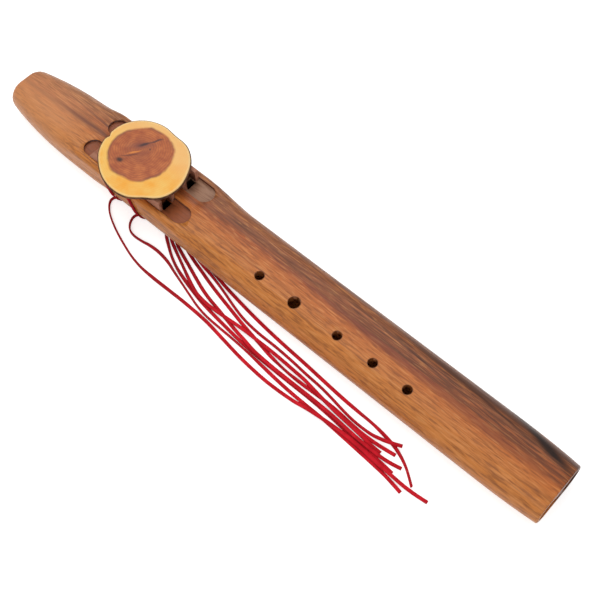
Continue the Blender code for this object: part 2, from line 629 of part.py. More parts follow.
def make_knot(name, x, material):
    """A small knot on the outside of a tie, low on the drone side: three crossing turns in one."""
    section = tie_x(x, GLUE_HEIGHT)
    out = under_radius(section) + 2 * SEAT_GAP + LACE_THICKNESS + KNOT_RADIUS
    y = half_width(section) - under_radius(section) + out * math.cos(KNOT_ANGLE)
    z = under_height(section) + under_radius(section) + out * math.sin(KNOT_ANGLE)
    knot = None
    for turn, tilt in enumerate(KNOT_TURNS):
        bpy.ops.mesh.primitive_torus_add(major_segments=KNOT_SEGMENTS, minor_segments=KNOT_SIDES,
                                         major_radius=KNOT_RADIUS - KNOT_STRAND_RADIUS,
                                         minor_radius=KNOT_STRAND_RADIUS, rotation=tilt)
        ring = bpy.context.object
        ring.name = name if knot is None else "%s_turn_%d" % (name, turn)
        for owner in list(ring.users_collection):
            owner.objects.unlink(ring)
        ring.parent = origin
        ring.location = (tie_x(x, z), y, z)
        if knot is None:
            knot = ring
            parts.objects.link(ring)
            ring.data.materials.append(material)
        else:
            cutters.objects.link(ring)
            ring.hide_render = True
            ring.display_type = "WIRE"
            apply_boolean(knot, ring, "UNION")
    smooth(knot, 60)


def make_fringe_header(material):
    """A short lace with a row of hitches on it, turned about a line along x beside the rear knot."""
    hitch_radius = HEADER_CORE_RADIUS + LACE_THICKNESS
    half = LACE_WIDTH / 2
    last = HEADER_FIRST_X + (HEADER_HITCHES - 1) * HEADER_SPACING
    start = tie_x(TIE_REAR_X, hitch_radius) + KNOT_RADIUS
    profile = [(last + HEADER_SPACING, 0.0), (last + HEADER_SPACING, HEADER_CORE_RADIUS)]
    for k in reversed(range(HEADER_HITCHES)):
        x = HEADER_FIRST_X + k * HEADER_SPACING
        profile += [(x + half, HEADER_CORE_RADIUS), (x + half / 2, hitch_radius),
                    (x - half / 2, hitch_radius), (x - half, HEADER_CORE_RADIUS)]
    profile += [(start, HEADER_CORE_RADIUS), (start, 0.0)]
    mesh = bpy.data.meshes.new("fringe_header")
    points = [(radius, 0.0, x) for x, radius in profile]
    mesh.from_pydata(points, [(k, k + 1) for k in range(len(points) - 1)], [])
    header = new_object("fringe_header", mesh, parts, material)
    header.rotation_euler = (0, math.pi / 2, 0)
    header.location = (0, HEADER_LINE_Y, hitch_radius + SEAT_GAP)
    turn = header.modifiers.new("turn", "SCREW")
    turn.axis = "Z"
    turn.angle = 2 * math.pi
    turn.steps = HEADER_SIDES
    turn.render_steps = HEADER_SIDES
    turn.use_merge_vertices = True
    turn.merge_threshold = 0.00001
    smooth(header, 60)


def smooth_route(points, step):
    """Even steps along one smooth curve through the route's own points (all in metres)."""
    points = np.array(points, dtype=float)
    padded = np.vstack([2 * points[0] - points[1], points, 2 * points[-1] - points[-2]])
    fine = []
    for k in range(1, len(padded) - 2):
        before, start, end, after = padded[k - 1:k + 3]
        t = np.linspace(0, 1, 12, endpoint=False)[:, None]
        fine.append(0.5 * (2 * start + (end - before) * t + (2 * before - 5 * start + 4 * end - after) * t ** 2
                           + (3 * start - before - 3 * end + after) * t ** 3))
    fine = np.vstack(fine + [points[-1:]])
    lengths = np.linalg.norm(np.diff(fine[:, :3], axis=0), axis=1)
    along = np.concatenate([[0.0], np.cumsum(lengths)])
    count = max(int(round(along[-1] / step)), 2)
    places = np.linspace(0, along[-1], count + 1)
    return np.column_stack([np.interp(places, along, fine[:, k]) for k in range(fine.shape[1])])


def rest_height(turn):
    """Height of the middle of a lace that rests on the table, from its turn."""
    reach = (LACE_WIDTH - LACE_THICKNESS) / 2 * abs(math.sin(turn))
    return LACE_THICKNESS / 2 + reach + TABLE_GAP


def make_lace(name, route, material):
    """A free lace: a flat strip with round edges that follows its route and turns with it.

    Untilted, such a strip stands upright on its edge, so a lace that lies flat has a quarter turn.
    """
    unit = np.array([MM, MM, MM, math.pi / 180])
    points = smooth_route(np.array(route) * unit, LACE_STEP)
    curve = bpy.data.curves.new(name, "CURVE")
    curve.dimensions = "3D"
    curve.twist_mode = "Z_UP"
    curve.fill_mode = "FULL"
    curve.use_fill_caps = True
    curve.bevel_depth = LACE_THICKNESS / 2
    curve.bevel_resolution = 1
    curve.extrude = (LACE_WIDTH - LACE_THICKNESS) / 2
    spline = curve.splines.new("POLY")
    spline.points.add(len(points) - 1)
    for point, (x, y, z, turn) in zip(spline.points, points):
        point.co = (x, y, max(z, rest_height(turn)), 1)
        point.tilt = turn + math.pi / 2
    curve.materials.append(material)
    lace = bpy.data.objects.new(name, curve)
    parts.objects.link(lace)
    lace.parent = origin


def suede(name):
    return make_material(name + "_suede", (0.35, 0.01, 0.015), 0.85)


def make_ties():
    for label, x in (("front", TIE_FRONT_X), ("rear", TIE_REAR_X)):
        make_tie_loop("tie_loop_" + label, x, suede("tie_loop_" + label))
        make_knot("tie_knot_" + label, x, suede("tie_knot_" + label))
    make_fringe_header(suede("fringe_header"))
    for name, route in LACE_ROUTES.items():
        make_lace(name, route, suede(name))


clear_scene()
parts = bpy.data.collections.new("double_flute")
cutters = bpy.data.collections.new("double_flute_cutters")
for group in (parts, cutters):
    bpy.context.scene.collection.children.link(group)
origin = bpy.data.objects.new("flute_origin", None)
origin.location = (-LENGTH / 2, 0, 0)
parts.objects.link(origin)
make_body()
make_block()
make_slice()
make_ties()
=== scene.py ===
"""Looks of a wooden double flute: oiled wood, a branch slice on the block and red suede laces.

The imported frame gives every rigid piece. World X runs from the mouth end to the foot end, Y to the
drone side and Z up from the table. Sizes are in metres where no other unit is named.
"""
import math

import bmesh
import bpy
import numpy as np
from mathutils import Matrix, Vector


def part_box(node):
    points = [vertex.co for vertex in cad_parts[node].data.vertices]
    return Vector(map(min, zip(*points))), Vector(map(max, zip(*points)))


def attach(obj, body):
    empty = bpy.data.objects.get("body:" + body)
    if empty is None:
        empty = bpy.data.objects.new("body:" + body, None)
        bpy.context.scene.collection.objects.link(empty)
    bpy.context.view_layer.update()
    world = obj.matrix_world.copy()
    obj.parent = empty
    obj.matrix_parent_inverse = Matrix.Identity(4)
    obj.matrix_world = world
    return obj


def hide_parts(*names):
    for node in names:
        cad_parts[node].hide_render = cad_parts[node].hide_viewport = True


bl_info = {
    "name": "Double Flute",
    "version": (1, 0, 0),
    "blender": (4, 5, 0),
    "location": "3D View > Sidebar > Flute",
    "description": "Dresses a wooden double flute and sets its studio",
    "category": "Add Mesh",
}

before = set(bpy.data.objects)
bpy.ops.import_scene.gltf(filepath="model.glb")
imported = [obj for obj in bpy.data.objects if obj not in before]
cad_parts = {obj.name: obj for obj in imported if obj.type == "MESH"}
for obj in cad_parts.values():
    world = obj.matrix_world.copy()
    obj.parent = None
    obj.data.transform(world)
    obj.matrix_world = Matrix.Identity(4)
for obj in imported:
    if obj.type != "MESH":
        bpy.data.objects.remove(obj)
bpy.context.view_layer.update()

# Mouth end and deck of the body: the lace routes count from the mouth end, in millimetres
MOUTH_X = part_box("body_top_half")[0].x
DECK_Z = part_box("body_top_half")[1].z
MM = 0.001

# Laces: their clearance over the table
TABLE_GAP = 0.00005

# Lace mesh: steps between two points of a route, distance between rings, points round a cut edge,
# and the edge's bulge as a share of half the thickness
CURVE_STEPS = 12
RING_STEP = 0.0015
EDGE_STEPS = 5
EDGE_BULGE = 0.55

# Finger holes: their line, each one's distance from the mouth end and diameter, and their dark rim of burnt
# wood
HOLE_LINE_Y = -0.014
FINGER_HOLES = ((0.2941, 0.0080), (0.3305, 0.0104), (0.3741, 0.0080), (0.4091, 0.0080),
                (0.4424, 0.0080))
HOLE_RIM = 0.0007

# Nest slots in the deck: both ends, outer side, depth, the depth where their painted shade is darkest, how
# far their colour reaches past their ends, and how softly it fades on the deck and up the walls
SLOT_START_X = MOUTH_X + 0.0965
SLOT_END_X = MOUTH_X + 0.2160
SLOT_SIDE_Y = 0.0230
SLOT_DEPTH = 0.0030
SHADE_DEPTH = 0.0060
SLOT_MARGIN = 0.0010
DECK_FADE = 0.0002
WALL_FADE = 0.0007

# Branch slice on the block: its middle, its reach at even angles from world X, and its heights
SLICE_MIDDLE = (MOUTH_X + 0.156, -0.0033)
SLICE_REACH = (0.0402, 0.0390, 0.0390, 0.0386, 0.0371, 0.0409, 0.0440, 0.0449,
               0.0427, 0.0402, 0.0372, 0.0362, 0.0362, 0.0367, 0.0359, 0.0397)
SLICE_SIDES = 160
SLICE_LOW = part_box("totem_slice")[0].z
SLICE_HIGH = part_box("totem_slice")[1].z
SLICE_HALFWAY = (SLICE_LOW + SLICE_HIGH) / 2
SLICE_UNDERCUT = 0.0016

# Rings of the slice's flat faces as shares of its reach, and the rounding of its upper edge
TOP_SHARES = (0.08, 0.25, 0.45, 0.65, 0.8, 0.88, 0.93, 0.96)
UNDER_SHARES = (0.6, 0.08)
EDGE_RADIUS = 0.0006
EDGE_BEVEL = 0.0002

# Split in the slice's edge: its angle, its depth and its half width in radians
SPLIT_ANGLE = math.pi
SPLIT_DEPTH = 0.0019
SPLIT_WIDTH = 0.05

# Bark: its gap to the wood, its lip below the slice's top, and the lip's crown and rounding
BARK_GAP = 0.00008
LIP_DROP = 0.0007
LIP_CROWN = 0.0002
LIP_ROUNDING = 0.0004

# End grain in world metres: middles of the growth rings, the heartwood and the knot, radius of the
# heartwood, how far the rings bend, and width of the pale band along the edge
PITH = (-0.1411, 0.0034)
HEARTWOOD_MIDDLE = (-0.1376, 0.0012)
HEARTWOOD_RADIUS = 0.0272
SLICE_KNOT = (-0.1468, -0.0149)
RING_BEND = 0.007
PALE_BAND = 0.0040

# Marks on the slice: middle, direction in degrees, half length, half width, strength and colour
SLICE_MARKS = ((SLICE_KNOT, 40, 0.0055, 0.0040, 0.5, (0.20, 0.045, 0.018)),
               (SLICE_KNOT, 20, 0.0030, 0.0023, 0.95, (0.05, 0.014, 0.010)),
               ((-0.1421, 0.0080), 42, 0.0120, 0.0034, 0.5, (0.20, 0.055, 0.040)),
               ((-0.1421, 0.0100), 55, 0.0062, 0.0017, 0.9, (0.05, 0.018, 0.022)),
               ((-0.1365, 0.0188), 60, 0.0065, 0.0012, 0.85, (0.07, 0.025, 0.028)),
               ((-0.1433, -0.0015), 52, 0.0065, 0.0010, 0.7, (0.85, 0.27, 0.035)),
               ((-0.1442, -0.0060), 48, 0.0085, 0.0009, 0.7, (0.12, 0.030, 0.015)),
               ((-0.1345, 0.0095), 30, 0.0010, 0.0010, 0.8, (0.07, 0.02, 0.015)))

# Streaks on the body, as rows of the same kind, and how far the grain bends them sideways
BODY_STREAKS = (((0.2610, 0.0195), -14, 0.0330, 0.0048, 0.95, (0.016, 0.007, 0.005)),
                ((0.2350, 0.0270), -8, 0.0350, 0.0030, 0.6, (0.035, 0.014, 0.009)),
                ((0.2100, 0.0185), -4, 0.0600, 0.0012, 0.7, (0.060, 0.020, 0.010)),
                ((0.1700, 0.0130), -3, 0.0900, 0.0010, 0.7, (0.080, 0.024, 0.012)),
                ((0.1400, 0.0225), -3, 0.0900, 0.0011, 0.6, (0.080, 0.028, 0.014)),
                ((0.1700, 0.0020), -1, 0.1300, 0.0034, 0.5, (0.20, 0.038, 0.018)),
                ((-0.2080, 0.0030), 0, 0.0420, 0.0021, 0.6, (0.13, 0.040, 0.032)),
                ((-0.1950, 0.0120), -3, 0.0380, 0.0015, 0.5, (0.12, 0.045, 0.035)),
                ((-0.0350, 0.0090), -2, 0.0600, 0.0013, 0.55, (0.13, 0.040, 0.025)),
                ((0.0900, 0.0060), -1, 0.1500, 0.0016, 0.45, (0.18, 0.035, 0.022)))
STREAK_WAVE = 0.004

# Dark line near the body's middle: the width that it wanders over, and where it is across that
# width at shares of the body's length
LINE_SPAN = 0.05
LINE_DRIFT = ((0.0, 0.50), (0.22, 0.50), (0.42, 0.72), (0.66, 0.66), (1.0, 0.56))

# Side to side, how far the body's four base colours reach from its middle and wander with the grain
COLOUR_REACH = 0.027
GRAIN_WANDER = 0.016

# Grain: waves of noise to the metre along X, Y and Z
FINE_GRAIN = (38.0, 1300.0, 900.0)
FLECK_GRAIN = (75.0, 620.0, 420.0)
STREAK_GRAIN = (11.0, 260.0, 190.0)
BROAD_GRAIN = (7.0, 60.0, 30.0)
BLOCK_GRAIN = (30.0, 700.0, 500.0)
BLOCK_BANDS = (12.0, 90.0, 70.0)
END_GRAIN = (160.0, 160.0, 40.0)
SAP_CLOUDS = (75.0, 75.0, 40.0)
BARK_LUMPS = (260.0, 260.0, 420.0)
SUEDE_NAP = (2600.0, 2600.0, 2600.0)
SUEDE_PATCHES = (120.0, 120.0, 120.0)

# Body wood: its grain, its shades towards the foot, the mouth and the drone side, slots and holes
GRAIN_DARK = (0.17, 0.048, 0.016)
GRAIN_PALE = (0.74, 0.32, 0.10)
PORE_BROWN = (0.12, 0.035, 0.014)
FOOT_BLACK = (0.035, 0.018, 0.012)
FOOT_BROWN = (0.16, 0.050, 0.020)
MOUTH_PINK = (0.66, 0.30, 0.14)
DRONE_BROWN = (0.10, 0.036, 0.018)
MELODY_SLOT = (0.31, 0.085, 0.030)
DRONE_SLOT = (0.36, 0.19, 0.115)
SLOT_FLECK = (0.15, 0.05, 0.025)
# Painted shade up the slots' walls and, darker still, in the windows below their floors
SLOT_WALL_SHADE = (0.10, 0.028, 0.014)
SLOT_SHADE = (0.03, 0.012, 0.008)
# Burnt rims of the finger holes, and painted shade inside them
HOLE_BURN_AND_SHADE = (0.09, 0.028, 0.014)

# Block wood
BLOCK_DARK = (0.34, 0.12, 0.065)
BLOCK_PALE = (0.60, 0.29, 0.19)
BLOCK_PORE = (0.15, 0.06, 0.04)

# Heartwood, sapwood and bark of the slice
HEART_DARK = (0.38, 0.080, 0.022)
HEART_PALE = (0.58, 0.165, 0.042)
HEART_RING = (0.22, 0.055, 0.022)
HEART_CORE = (0.26, 0.068, 0.034)
HEART_BORDER = (0.20, 0.065, 0.04)
SAP_ORANGE = (0.94, 0.41, 0.035)
SAP_YELLOW = (0.94, 0.55, 0.12)
SAP_RING = (0.72, 0.33, 0.07)
SAP_PEACH = (0.90, 0.56, 0.25)
SAP_RIM = (0.95, 0.72, 0.36)
BARK_DARK = (0.05, 0.020, 0.012)
BARK_PALE = (0.22, 0.10, 0.05)

# Gloss of every finish: specular level, roughness of its coat, and the suede's sheen and its tint
SPECULAR_LEVEL = 0.28
COAT_ROUGHNESS = 0.25
SUEDE_SHEEN = 0.12
SHEEN_TINT = (0.9, 0.25, 0.25)

# Angle between faces, in degrees, past which an edge stays sharp, and distance of merged points
WOOD_SHARP = 35.0
SLICE_SHARP = 50.0
SOFT_SHARP = 60.0
MERGE_DISTANCE = 0.000002

# Tied pieces that lie on the body
TIE_NODES = ("tie_loop_front", "tie_loop_rear", "tie_knot_front", "tie_knot_rear", "fringe_header")

# Camera: place, point that it looks at, and its view's width
CAMERA_PLACE = (0.33679, -0.33508, 0.77573)
CAMERA_TARGET = (0.0344, 0.0040, 0.0)
CAMERA_ANGLE = math.radians(30.0)

# Lamps, which face the world's middle: place and side of each
KEY_PLACE = (-0.45, 0.35, 1.3)
KEY_SIDE = 1.1
FILL_PLACE = (0.3, -0.9, 1.0)
FILL_SIDE = 0.9

# Floor: half its side, its pale grey, and how much it glows for the camera and in reflections
FLOOR_HALF = 3.0
FLOOR_GREY = (0.82, 0.82, 0.82)
FLOOR_GLOW = 0.62

# Free laces: x, y and height of the middle of the lace in millimetres from the mouth end, and its
# turn in degrees, 0 where it lies flat and 90 where it stands on its edge
LACE_ROUTES = {
    "tie_tail_front": (
        (142.7, -21.8, 1.6, 90), (139.6, -23.6, 1.6, 90), (137.0, -26.6, 1.6, 90),
        (136.8, -30.2, 1.6, 90), (139.8, -35.0, 1.6, 90), (146.5, -40.5, 1.6, 90),
        (157, -46, 1.6, 90), (168, -50.5, 1.6, 90), (180, -54.6, 1.6, 90), (192, -58.0, 1.6, 90),
        (205, -60.0, 1.6, 80), (220, -60.3, 1.4, 45), (235, -59.9, 0.9, 0), (255, -59.7, 0.8, 0),
        (278, -60.6, 0.8, 0), (300, -63.4, 0.8, 0), (322, -66.2, 0.8, 0), (345, -67.7, 0.8, 0),
        (362, -67.4, 0.8, 0), (376, -66.3, 0.8, 0), (388, -65.0, 2.7, 0), (403, -63.3, 2.7, 0),
        (418, -62.2, 2.7, 0), (435, -62.0, 2.7, 0), (452, -63.0, 2.7, 0), (474, -64.0, 2.7, 0),
        (484, -63.8, 1.4, 0), (493, -63.1, 0.8, 0), (503, -62.0, 0.8, 0)),
    "tie_tail_rear": (
        (170.7, -21.6, 1.6, 90), (167.6, -22.8, 1.6, 90), (164.6, -25.2, 1.6, 90),
        (163.4, -28.5, 1.6, 90), (164.2, -32.5, 1.6, 90), (166.8, -37.0, 1.6, 90),
        (171.0, -40.6, 1.6, 90), (177.5, -42.2, 1.6, 90), (186, -41.6, 1.6, 90),
        (194, -40.2, 1.6, 70), (204, -39.9, 1.6, 60), (216, -41.6, 1.6, 60), (228, -45.3, 1.6, 80),
        (240, -48.8, 1.6, 90), (252, -52.3, 1.6, 90), (264, -55.6, 1.6, 90), (276, -57.4, 1.6, 90),
        (290, -58.0, 1.6, 90), (306, -58.4, 1.6, 90), (322, -59.2, 1.6, 90), (338, -60.3, 1.4, 45),
        (352, -61.3, 0.9, 0), (368, -62.2, 0.8, 0), (385, -62.5, 0.8, 0), (403, -62.6, 0.8, 0),
        (420, -63.4, 0.8, 0), (438, -64.4, 0.8, 0), (455, -65.4, 0.8, 0), (468, -66.5, 0.8, 0),
        (483.5, -69.0, 0.8, 0)),
    "fringe_lace_1": (
        (197, 27, 0.8, 0), (198, 15.5, 0.8, 0), (201.5, 4, 0.8, 0), (209, -6, 0.8, 0),
        (220, -14, 0.8, 0), (234, -19.6, 0.8, 0), (249, -23.2, 0.8, 0), (264, -26.4, 0.8, 0),
        (280, -29.0, 0.8, 0), (300, -31.7, 0.8, 0), (320, -33.8, 0.8, 0), (340, -35.3, 0.8, 0),
        (362, -36.6, 0.8, 0), (382, -38.1, 0.8, 0), (402, -39.6, 1.1, 20), (418, -40.4, 1.5, 60),
        (433, -40.8, 1.6, 75), (446, -42.1, 1.4, 45), (457, -44.1, 1.4, 45), (466, -47.2, 1.5, 60),
        (474, -51.2, 1.6, 80), (481, -56.0, 1.6, 80), (487, -60.5, 1.6, 80)),
    "fringe_lace_2": (
        (193.5, 27, 0.8, 0), (194, 16, 0.8, 0), (197, 4.5, 0.8, 0), (203.5, -6, 0.8, 0),
        (213, -14.6, 0.8, 0), (225, -20.6, 0.8, 0), (239, -24.6, 1.2, 30), (252, -27.2, 1.5, 60),
        (264, -30.1, 1.6, 80), (275, -33.2, 1.6, 80), (285, -36.1, 1.6, 80), (295, -38.6, 1.6, 80),
        (305, -40.2, 1.6, 80), (318, -41.1, 1.6, 80), (335, -41.1, 1.6, 80), (352, -41.8, 1.6, 80),
        (368, -43.0, 1.6, 80), (384, -43.9, 1.6, 80), (396, -45.3, 1.6, 80), (408, -47.1, 1.6, 80),
        (419, -48.4, 1.6, 80), (429, -48.7, 1.6, 80), (439, -48.2, 1.9, 70), (447, -46.8, 3.2, 50),
        (453, -45.2, 4.2, 45), (458, -43.2, 4.3, 45), (462.5, -41.0, 3.9, 45)),
    "fringe_lace_3": (
        (190, 27, 0.8, 0), (190.3, 16, 0.8, 0), (192.5, 5, 0.8, 0), (198, -6, 0.8, 0),
        (206, -15, 0.8, 0), (217, -21.3, 0.8, 0), (230, -25.9, 0.8, 0), (243, -29.5, 0.8, 0),
        (256, -33.1, 0.8, 0), (268, -36.0, 0.8, 0), (279, -38.4, 0.8, 0), (290, -40.8, 0.8, 0),
        (301, -43.2, 1.2, 30), (311, -45.0, 1.1, 20), (323, -47.0, 0.8, 0), (334, -49.0, 0.8, 0),
        (345, -50.6, 1.5, 70), (358, -51.5, 1.6, 80), (371, -51.3, 1.2, 30), (383, -50.6, 0.8, 0),
        (395, -50.2, 0.8, 0), (407, -50.4, 0.8, 0), (419, -51.3, 0.8, 0), (431, -51.9, 0.8, 0),
        (443, -51.5, 0.8, 0), (453, -50.4, 0.8, 0), (462.5, -49.0, 0.8, 0)),
    "fringe_lace_4": (
        (183, 27, 0.8, 0), (183, 17.5, 0.8, 0), (184, 7, 0.8, 0), (187.5, -4.5, 0.8, 0),
        (193.5, -15, 0.8, 0), (202, -23.3, 0.8, 0), (211, -28.3, 1.3, 40), (221, -33.0, 1.5, 60),
        (231, -37.6, 1.8, 60), (238, -40.9, 2.4, 45), (245, -44.0, 2.9, 0), (256, -47.9, 2.8, 0),
        (268, -49.3, 2.7, 0), (278, -49.1, 2.7, 0), (288, -48.4, 2.7, 0), (300, -47.4, 2.7, 0),
        (312, -46.9, 2.8, 0), (323, -46.8, 2.8, 0), (335, -46.6, 2.7, 0), (348, -46.6, 2.0, 0),
        (360, -47.0, 1.7, 0), (371, -47.9, 2.7, 0), (381, -49.2, 2.7, 0), (396, -51.2, 2.7, 0),
        (408, -52.5, 2.7, 0), (420, -53.4, 2.7, 0), (432, -54.3, 2.7, 0), (443, -54.9, 1.5, 0),
        (453, -54.9, 0.8, 0)),
    "fringe_lace_5": (
        (186.5, 27, 0.8, 0), (186.5, 17, 0.8, 0), (188, 6, 0.8, 0), (192, -5, 0.8, 0),
        (199, -15.5, 0.8, 0), (209, -23.6, 0.8, 0), (220, -28.3, 0.8, 0), (232, -32.7, 0.8, 0),
        (244, -37.2, 0.8, 0), (256, -41.4, 0.9, 10), (267, -44.4, 1.4, 45), (277, -46.2, 1.2, 30),
        (287, -48.2, 0.8, 0), (298, -50.4, 0.9, 10), (306, -52.0, 1.6, 0), (313, -53.3, 2.7, 0),
        (326, -55.4, 2.7, 0), (345, -56.2, 2.7, 0), (365, -56.2, 2.7, 0), (385, -56.0, 2.7, 0),
        (405, -56.3, 2.7, 0), (420, -57.2, 2.7, 0), (432, -57.9, 2.7, 0), (445, -58.1, 2.7, 0),
        (456, -57.5, 1.9, 0), (465, -55.9, 0.8, 0), (472.5, -54.2, 0.8, 0)),
    "fringe_lace_6": (
        (179.5, 27, 0.8, 0), (179.5, 18, 0.8, 0), (180.5, 8, 0.8, 0), (183, -3, 0.8, 0),
        (188, -14, 0.8, 0), (196, -23.2, 0.8, 0), (205, -29.6, 1.3, 40), (215, -35.8, 1.5, 60),
        (226, -40.8, 1.5, 60), (238, -44.4, 1.1, 20), (250, -47.4, 0.8, 0), (262, -50.0, 0.8, 0),
        (276, -52.0, 0.8, 0), (292, -53.7, 0.8, 0), (308, -55.3, 0.8, 0), (325, -56.3, 0.8, 0),
        (345, -56.6, 0.8, 0), (365, -56.6, 0.8, 0), (385, -56.5, 0.8, 0), (405, -57.2, 0.8, 0),
        (420, -58.3, 0.8, 0), (435, -59.4, 0.8, 0), (450, -60.1, 0.8, 0), (469.5, -61.5, 0.8, 0)),
}


def rest_height(turn, width, thickness):
    """Height of the middle of a lace that rests on the table: h = t/2 + (w - t)/2 |sin turn| + gap,
    for a lace of width w and thickness t."""
    return thickness / 2 + (width - thickness) / 2 * np.abs(np.sin(turn)) + TABLE_GAP


def cubic(before, start, end, after, t):
    """Point at t from 0 to 1 between b and c, on the cubic through a, b, c and d that passes b and c
    along the lines between their neighbours:
    p = (2b + (c - a)t + (2a - 5b + 4c - d)t^2 + (3b - a - 3c + d)t^3) / 2."""
    return 0.5 * (2 * start + (end - before) * t + (2 * before - 5 * start + 4 * end - after) * t ** 2
                  + (3 * start - before - 3 * end + after) * t ** 3)


def smooth_route(points, step):
    """Even steps along the cubic curve through the points, of about one step's length each."""
    points = np.array(points, dtype=float)
    padded = np.vstack([2 * points[0] - points[1], points, 2 * points[-1] - points[-2]])
    t = np.linspace(0, 1, CURVE_STEPS, endpoint=False)[None, :, None]
    before, start, end, after = (padded[k:len(padded) - 3 + k, None, :] for k in range(4))
    fine = cubic(before, start, end, after, t)
    fine = np.vstack([fine.reshape(-1, points.shape[1]), points[-1:]])
    along = np.concatenate([[0.0], np.cumsum(np.linalg.norm(np.diff(fine[:, :3], axis=0), axis=1))])
    count = max(int(round(along[-1] / step)), 2)
    places = np.linspace(0, along[-1], count + 1)
    return np.column_stack([np.interp(places, along, column) for column in fine.T])


def lace_path(name, width, thickness):
    """Middle line of a lace in world metres, and its turn in radians at each point."""
    unit = np.array([MM, MM, MM, math.pi / 180])
    route = smooth_route(np.array(LACE_ROUTES[name]) * unit, RING_STEP)
    route[:, 2] = np.maximum(route[:, 2], rest_height(route[:, 3], width, thickness))
    route[:, 0] += MOUTH_X
    return route[:, :3], route[:, 3]


def lace_section(width, thickness):
    """A flat section with bulging cut edges: x = w/2 - e r (1 - cos a) and y = r sin a, with r = t/2,
    bulge e and a from -90 to 90 degrees, and the same turned half round for the other edge. The
    second array is cos a, 0 on the flat and 1 at the middle of a cut edge."""
    angles = np.linspace(-math.pi / 2, math.pi / 2, EDGE_STEPS)
    radius = thickness / 2
    bulge = EDGE_BULGE * radius
    right = np.column_stack([width / 2 - bulge + bulge * np.cos(angles), radius * np.sin(angles)])
    outline = np.vstack([right, -right])
    return outline, np.tile(np.cos(angles), 2)


def grid_mesh(name, rings, endless=False):
    """A closed surface from an array of rings: neighbouring rings share quads. The two ends are
    closed by one face each, or joined to each other where the surface is endless."""
    count, sides = rings.shape[:2]
    corner = np.arange(count * sides).reshape(count, sides)
    ahead = np.roll(corner, -1, axis=1)
    quads = np.stack([corner, ahead, np.roll(ahead, -1, axis=0), np.roll(corner, -1, axis=0)], axis=-1)
    ends = []
    if not endless:
        quads = quads[:-1]
        ends = [corner[0, ::-1].tolist(), corner[-1].tolist()]
    quads = quads.reshape(-1, 4)
    mesh = bpy.data.meshes.new(name)
    mesh.from_pydata(rings.reshape(-1, 3).tolist(), [], quads.tolist() + ends)
    mesh.validate()
    work = bmesh.new()
    work.from_mesh(mesh)
    bmesh.ops.recalc_face_normals(work, faces=work.faces)
    work.to_mesh(mesh)
    work.free()
    return mesh


def link_piece(name, mesh, material):
    """An object at the origin with one mesh and one material."""
    mesh.materials.append(material)
    piece = bpy.data.objects.new(name, mesh)
    bpy.context.scene.collection.objects.link(piece)
    return piece


def mark_points(mesh, name, values):
    """Keeps one number for each point of a mesh, for its material to read."""
    mark = mesh.attributes.new(name, "FLOAT", "POINT")
    mark.data.foreach_set("value", values.astype(np.float32))


def make_lace(name, material):
    """One free lace: its section (u, v) is carried along the path p as p + u a + v (T x a), where T
    is the path's direction and a = L cos turn + (T x L) sin turn turns the level direction L up."""
    sizes = bpy.context.scene.flute_sizes
    path, turn = lace_path(name, sizes.lace_width, sizes.lace_thickness)
    tangent = np.gradient(path, axis=0)
    tangent /= np.linalg.norm(tangent, axis=1)[:, None]
    level = np.cross([0.0, 0.0, 1.0], tangent)
    level /= np.linalg.norm(level, axis=1)[:, None]
    upright = np.cross(tangent, level)
    across = level * np.cos(turn)[:, None] + upright * np.sin(turn)[:, None]
    through = np.cross(tangent, across)
    outline, edge = lace_section(sizes.lace_width, sizes.lace_thickness)
    rings = (path[:, None, :] + across[:, None, :] * outline[None, :, :1]
             + through[:, None, :] * outline[None, :, 1:])
    mesh = grid_mesh(name + "_suede", rings)
    mesh.shade_smooth()
    mark_points(mesh, "cut_edge", np.tile(edge, len(path)))
    piece = link_piece(name + "_suede", mesh, material)
    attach(piece, "flute")
    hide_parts(name)
    return piece


def dress_copy(node, body, material, sharp_angle=WOOD_SHARP):
    """A merged copy of a rigid piece that shades smoothly over its round stretches: normals are
    weighted by the area of the faces, so flat faces stay flat beside the curves."""
    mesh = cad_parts[node].data.copy()
    mesh.name = node + "_finish"
    work = bmesh.new()
    work.from_mesh(mesh)
    bmesh.ops.remove_doubles(work, verts=work.verts, dist=MERGE_DISTANCE)
    work.to_mesh(mesh)
    work.free()
    mesh.materials.clear()
    mesh.shade_smooth()
    mesh.set_sharp_from_angle(angle=math.radians(sharp_angle))
    piece = link_piece(node + "_finish", mesh, material)
    weigh = piece.modifiers.new("weighted_normals", "WEIGHTED_NORMAL")
    weigh.keep_sharp = True
    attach(piece, body)
    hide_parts(node)
    return piece


def slice_reach(angles):
    """Distance from the slice's middle to its edge: r(a) = c(a) - d exp(-((a - s) / w)^2), where c
    is the closed cubic curve through the reaches at even angles, and d, s and w are the depth, the
    angle and the half width of the split."""
    reach = np.array(SLICE_REACH)
    place = angles * len(reach) / (2 * math.pi)
    index = place.astype(int)
    before, start, end, after = (reach[(index + shift) % len(reach)] for shift in (-1, 0, 1, 2))
    curve = cubic(before, start, end, after, place - index)
    return curve - SPLIT_DEPTH * np.exp(-((angles - SPLIT_ANGLE) / SPLIT_WIDTH) ** 2)


def slice_rings(profile):
    """Rings round the slice's middle m: (x, y, z) = (m + (share r(a) - inset)(cos a, sin a), height),
    one ring for each share, inset and height in the profile."""
    angles = np.arange(SLICE_SIDES) * 2 * math.pi / SLICE_SIDES
    share, inset, height = np.array(profile).T[:, :, None]
    reach = share * slice_reach(angles)[None, :] - inset
    x = SLICE_MIDDLE[0] + reach * np.cos(angles)
    y = SLICE_MIDDLE[1] + reach * np.sin(angles)
    return np.stack([x, y, np.broadcast_to(height, x.shape)], axis=-1)


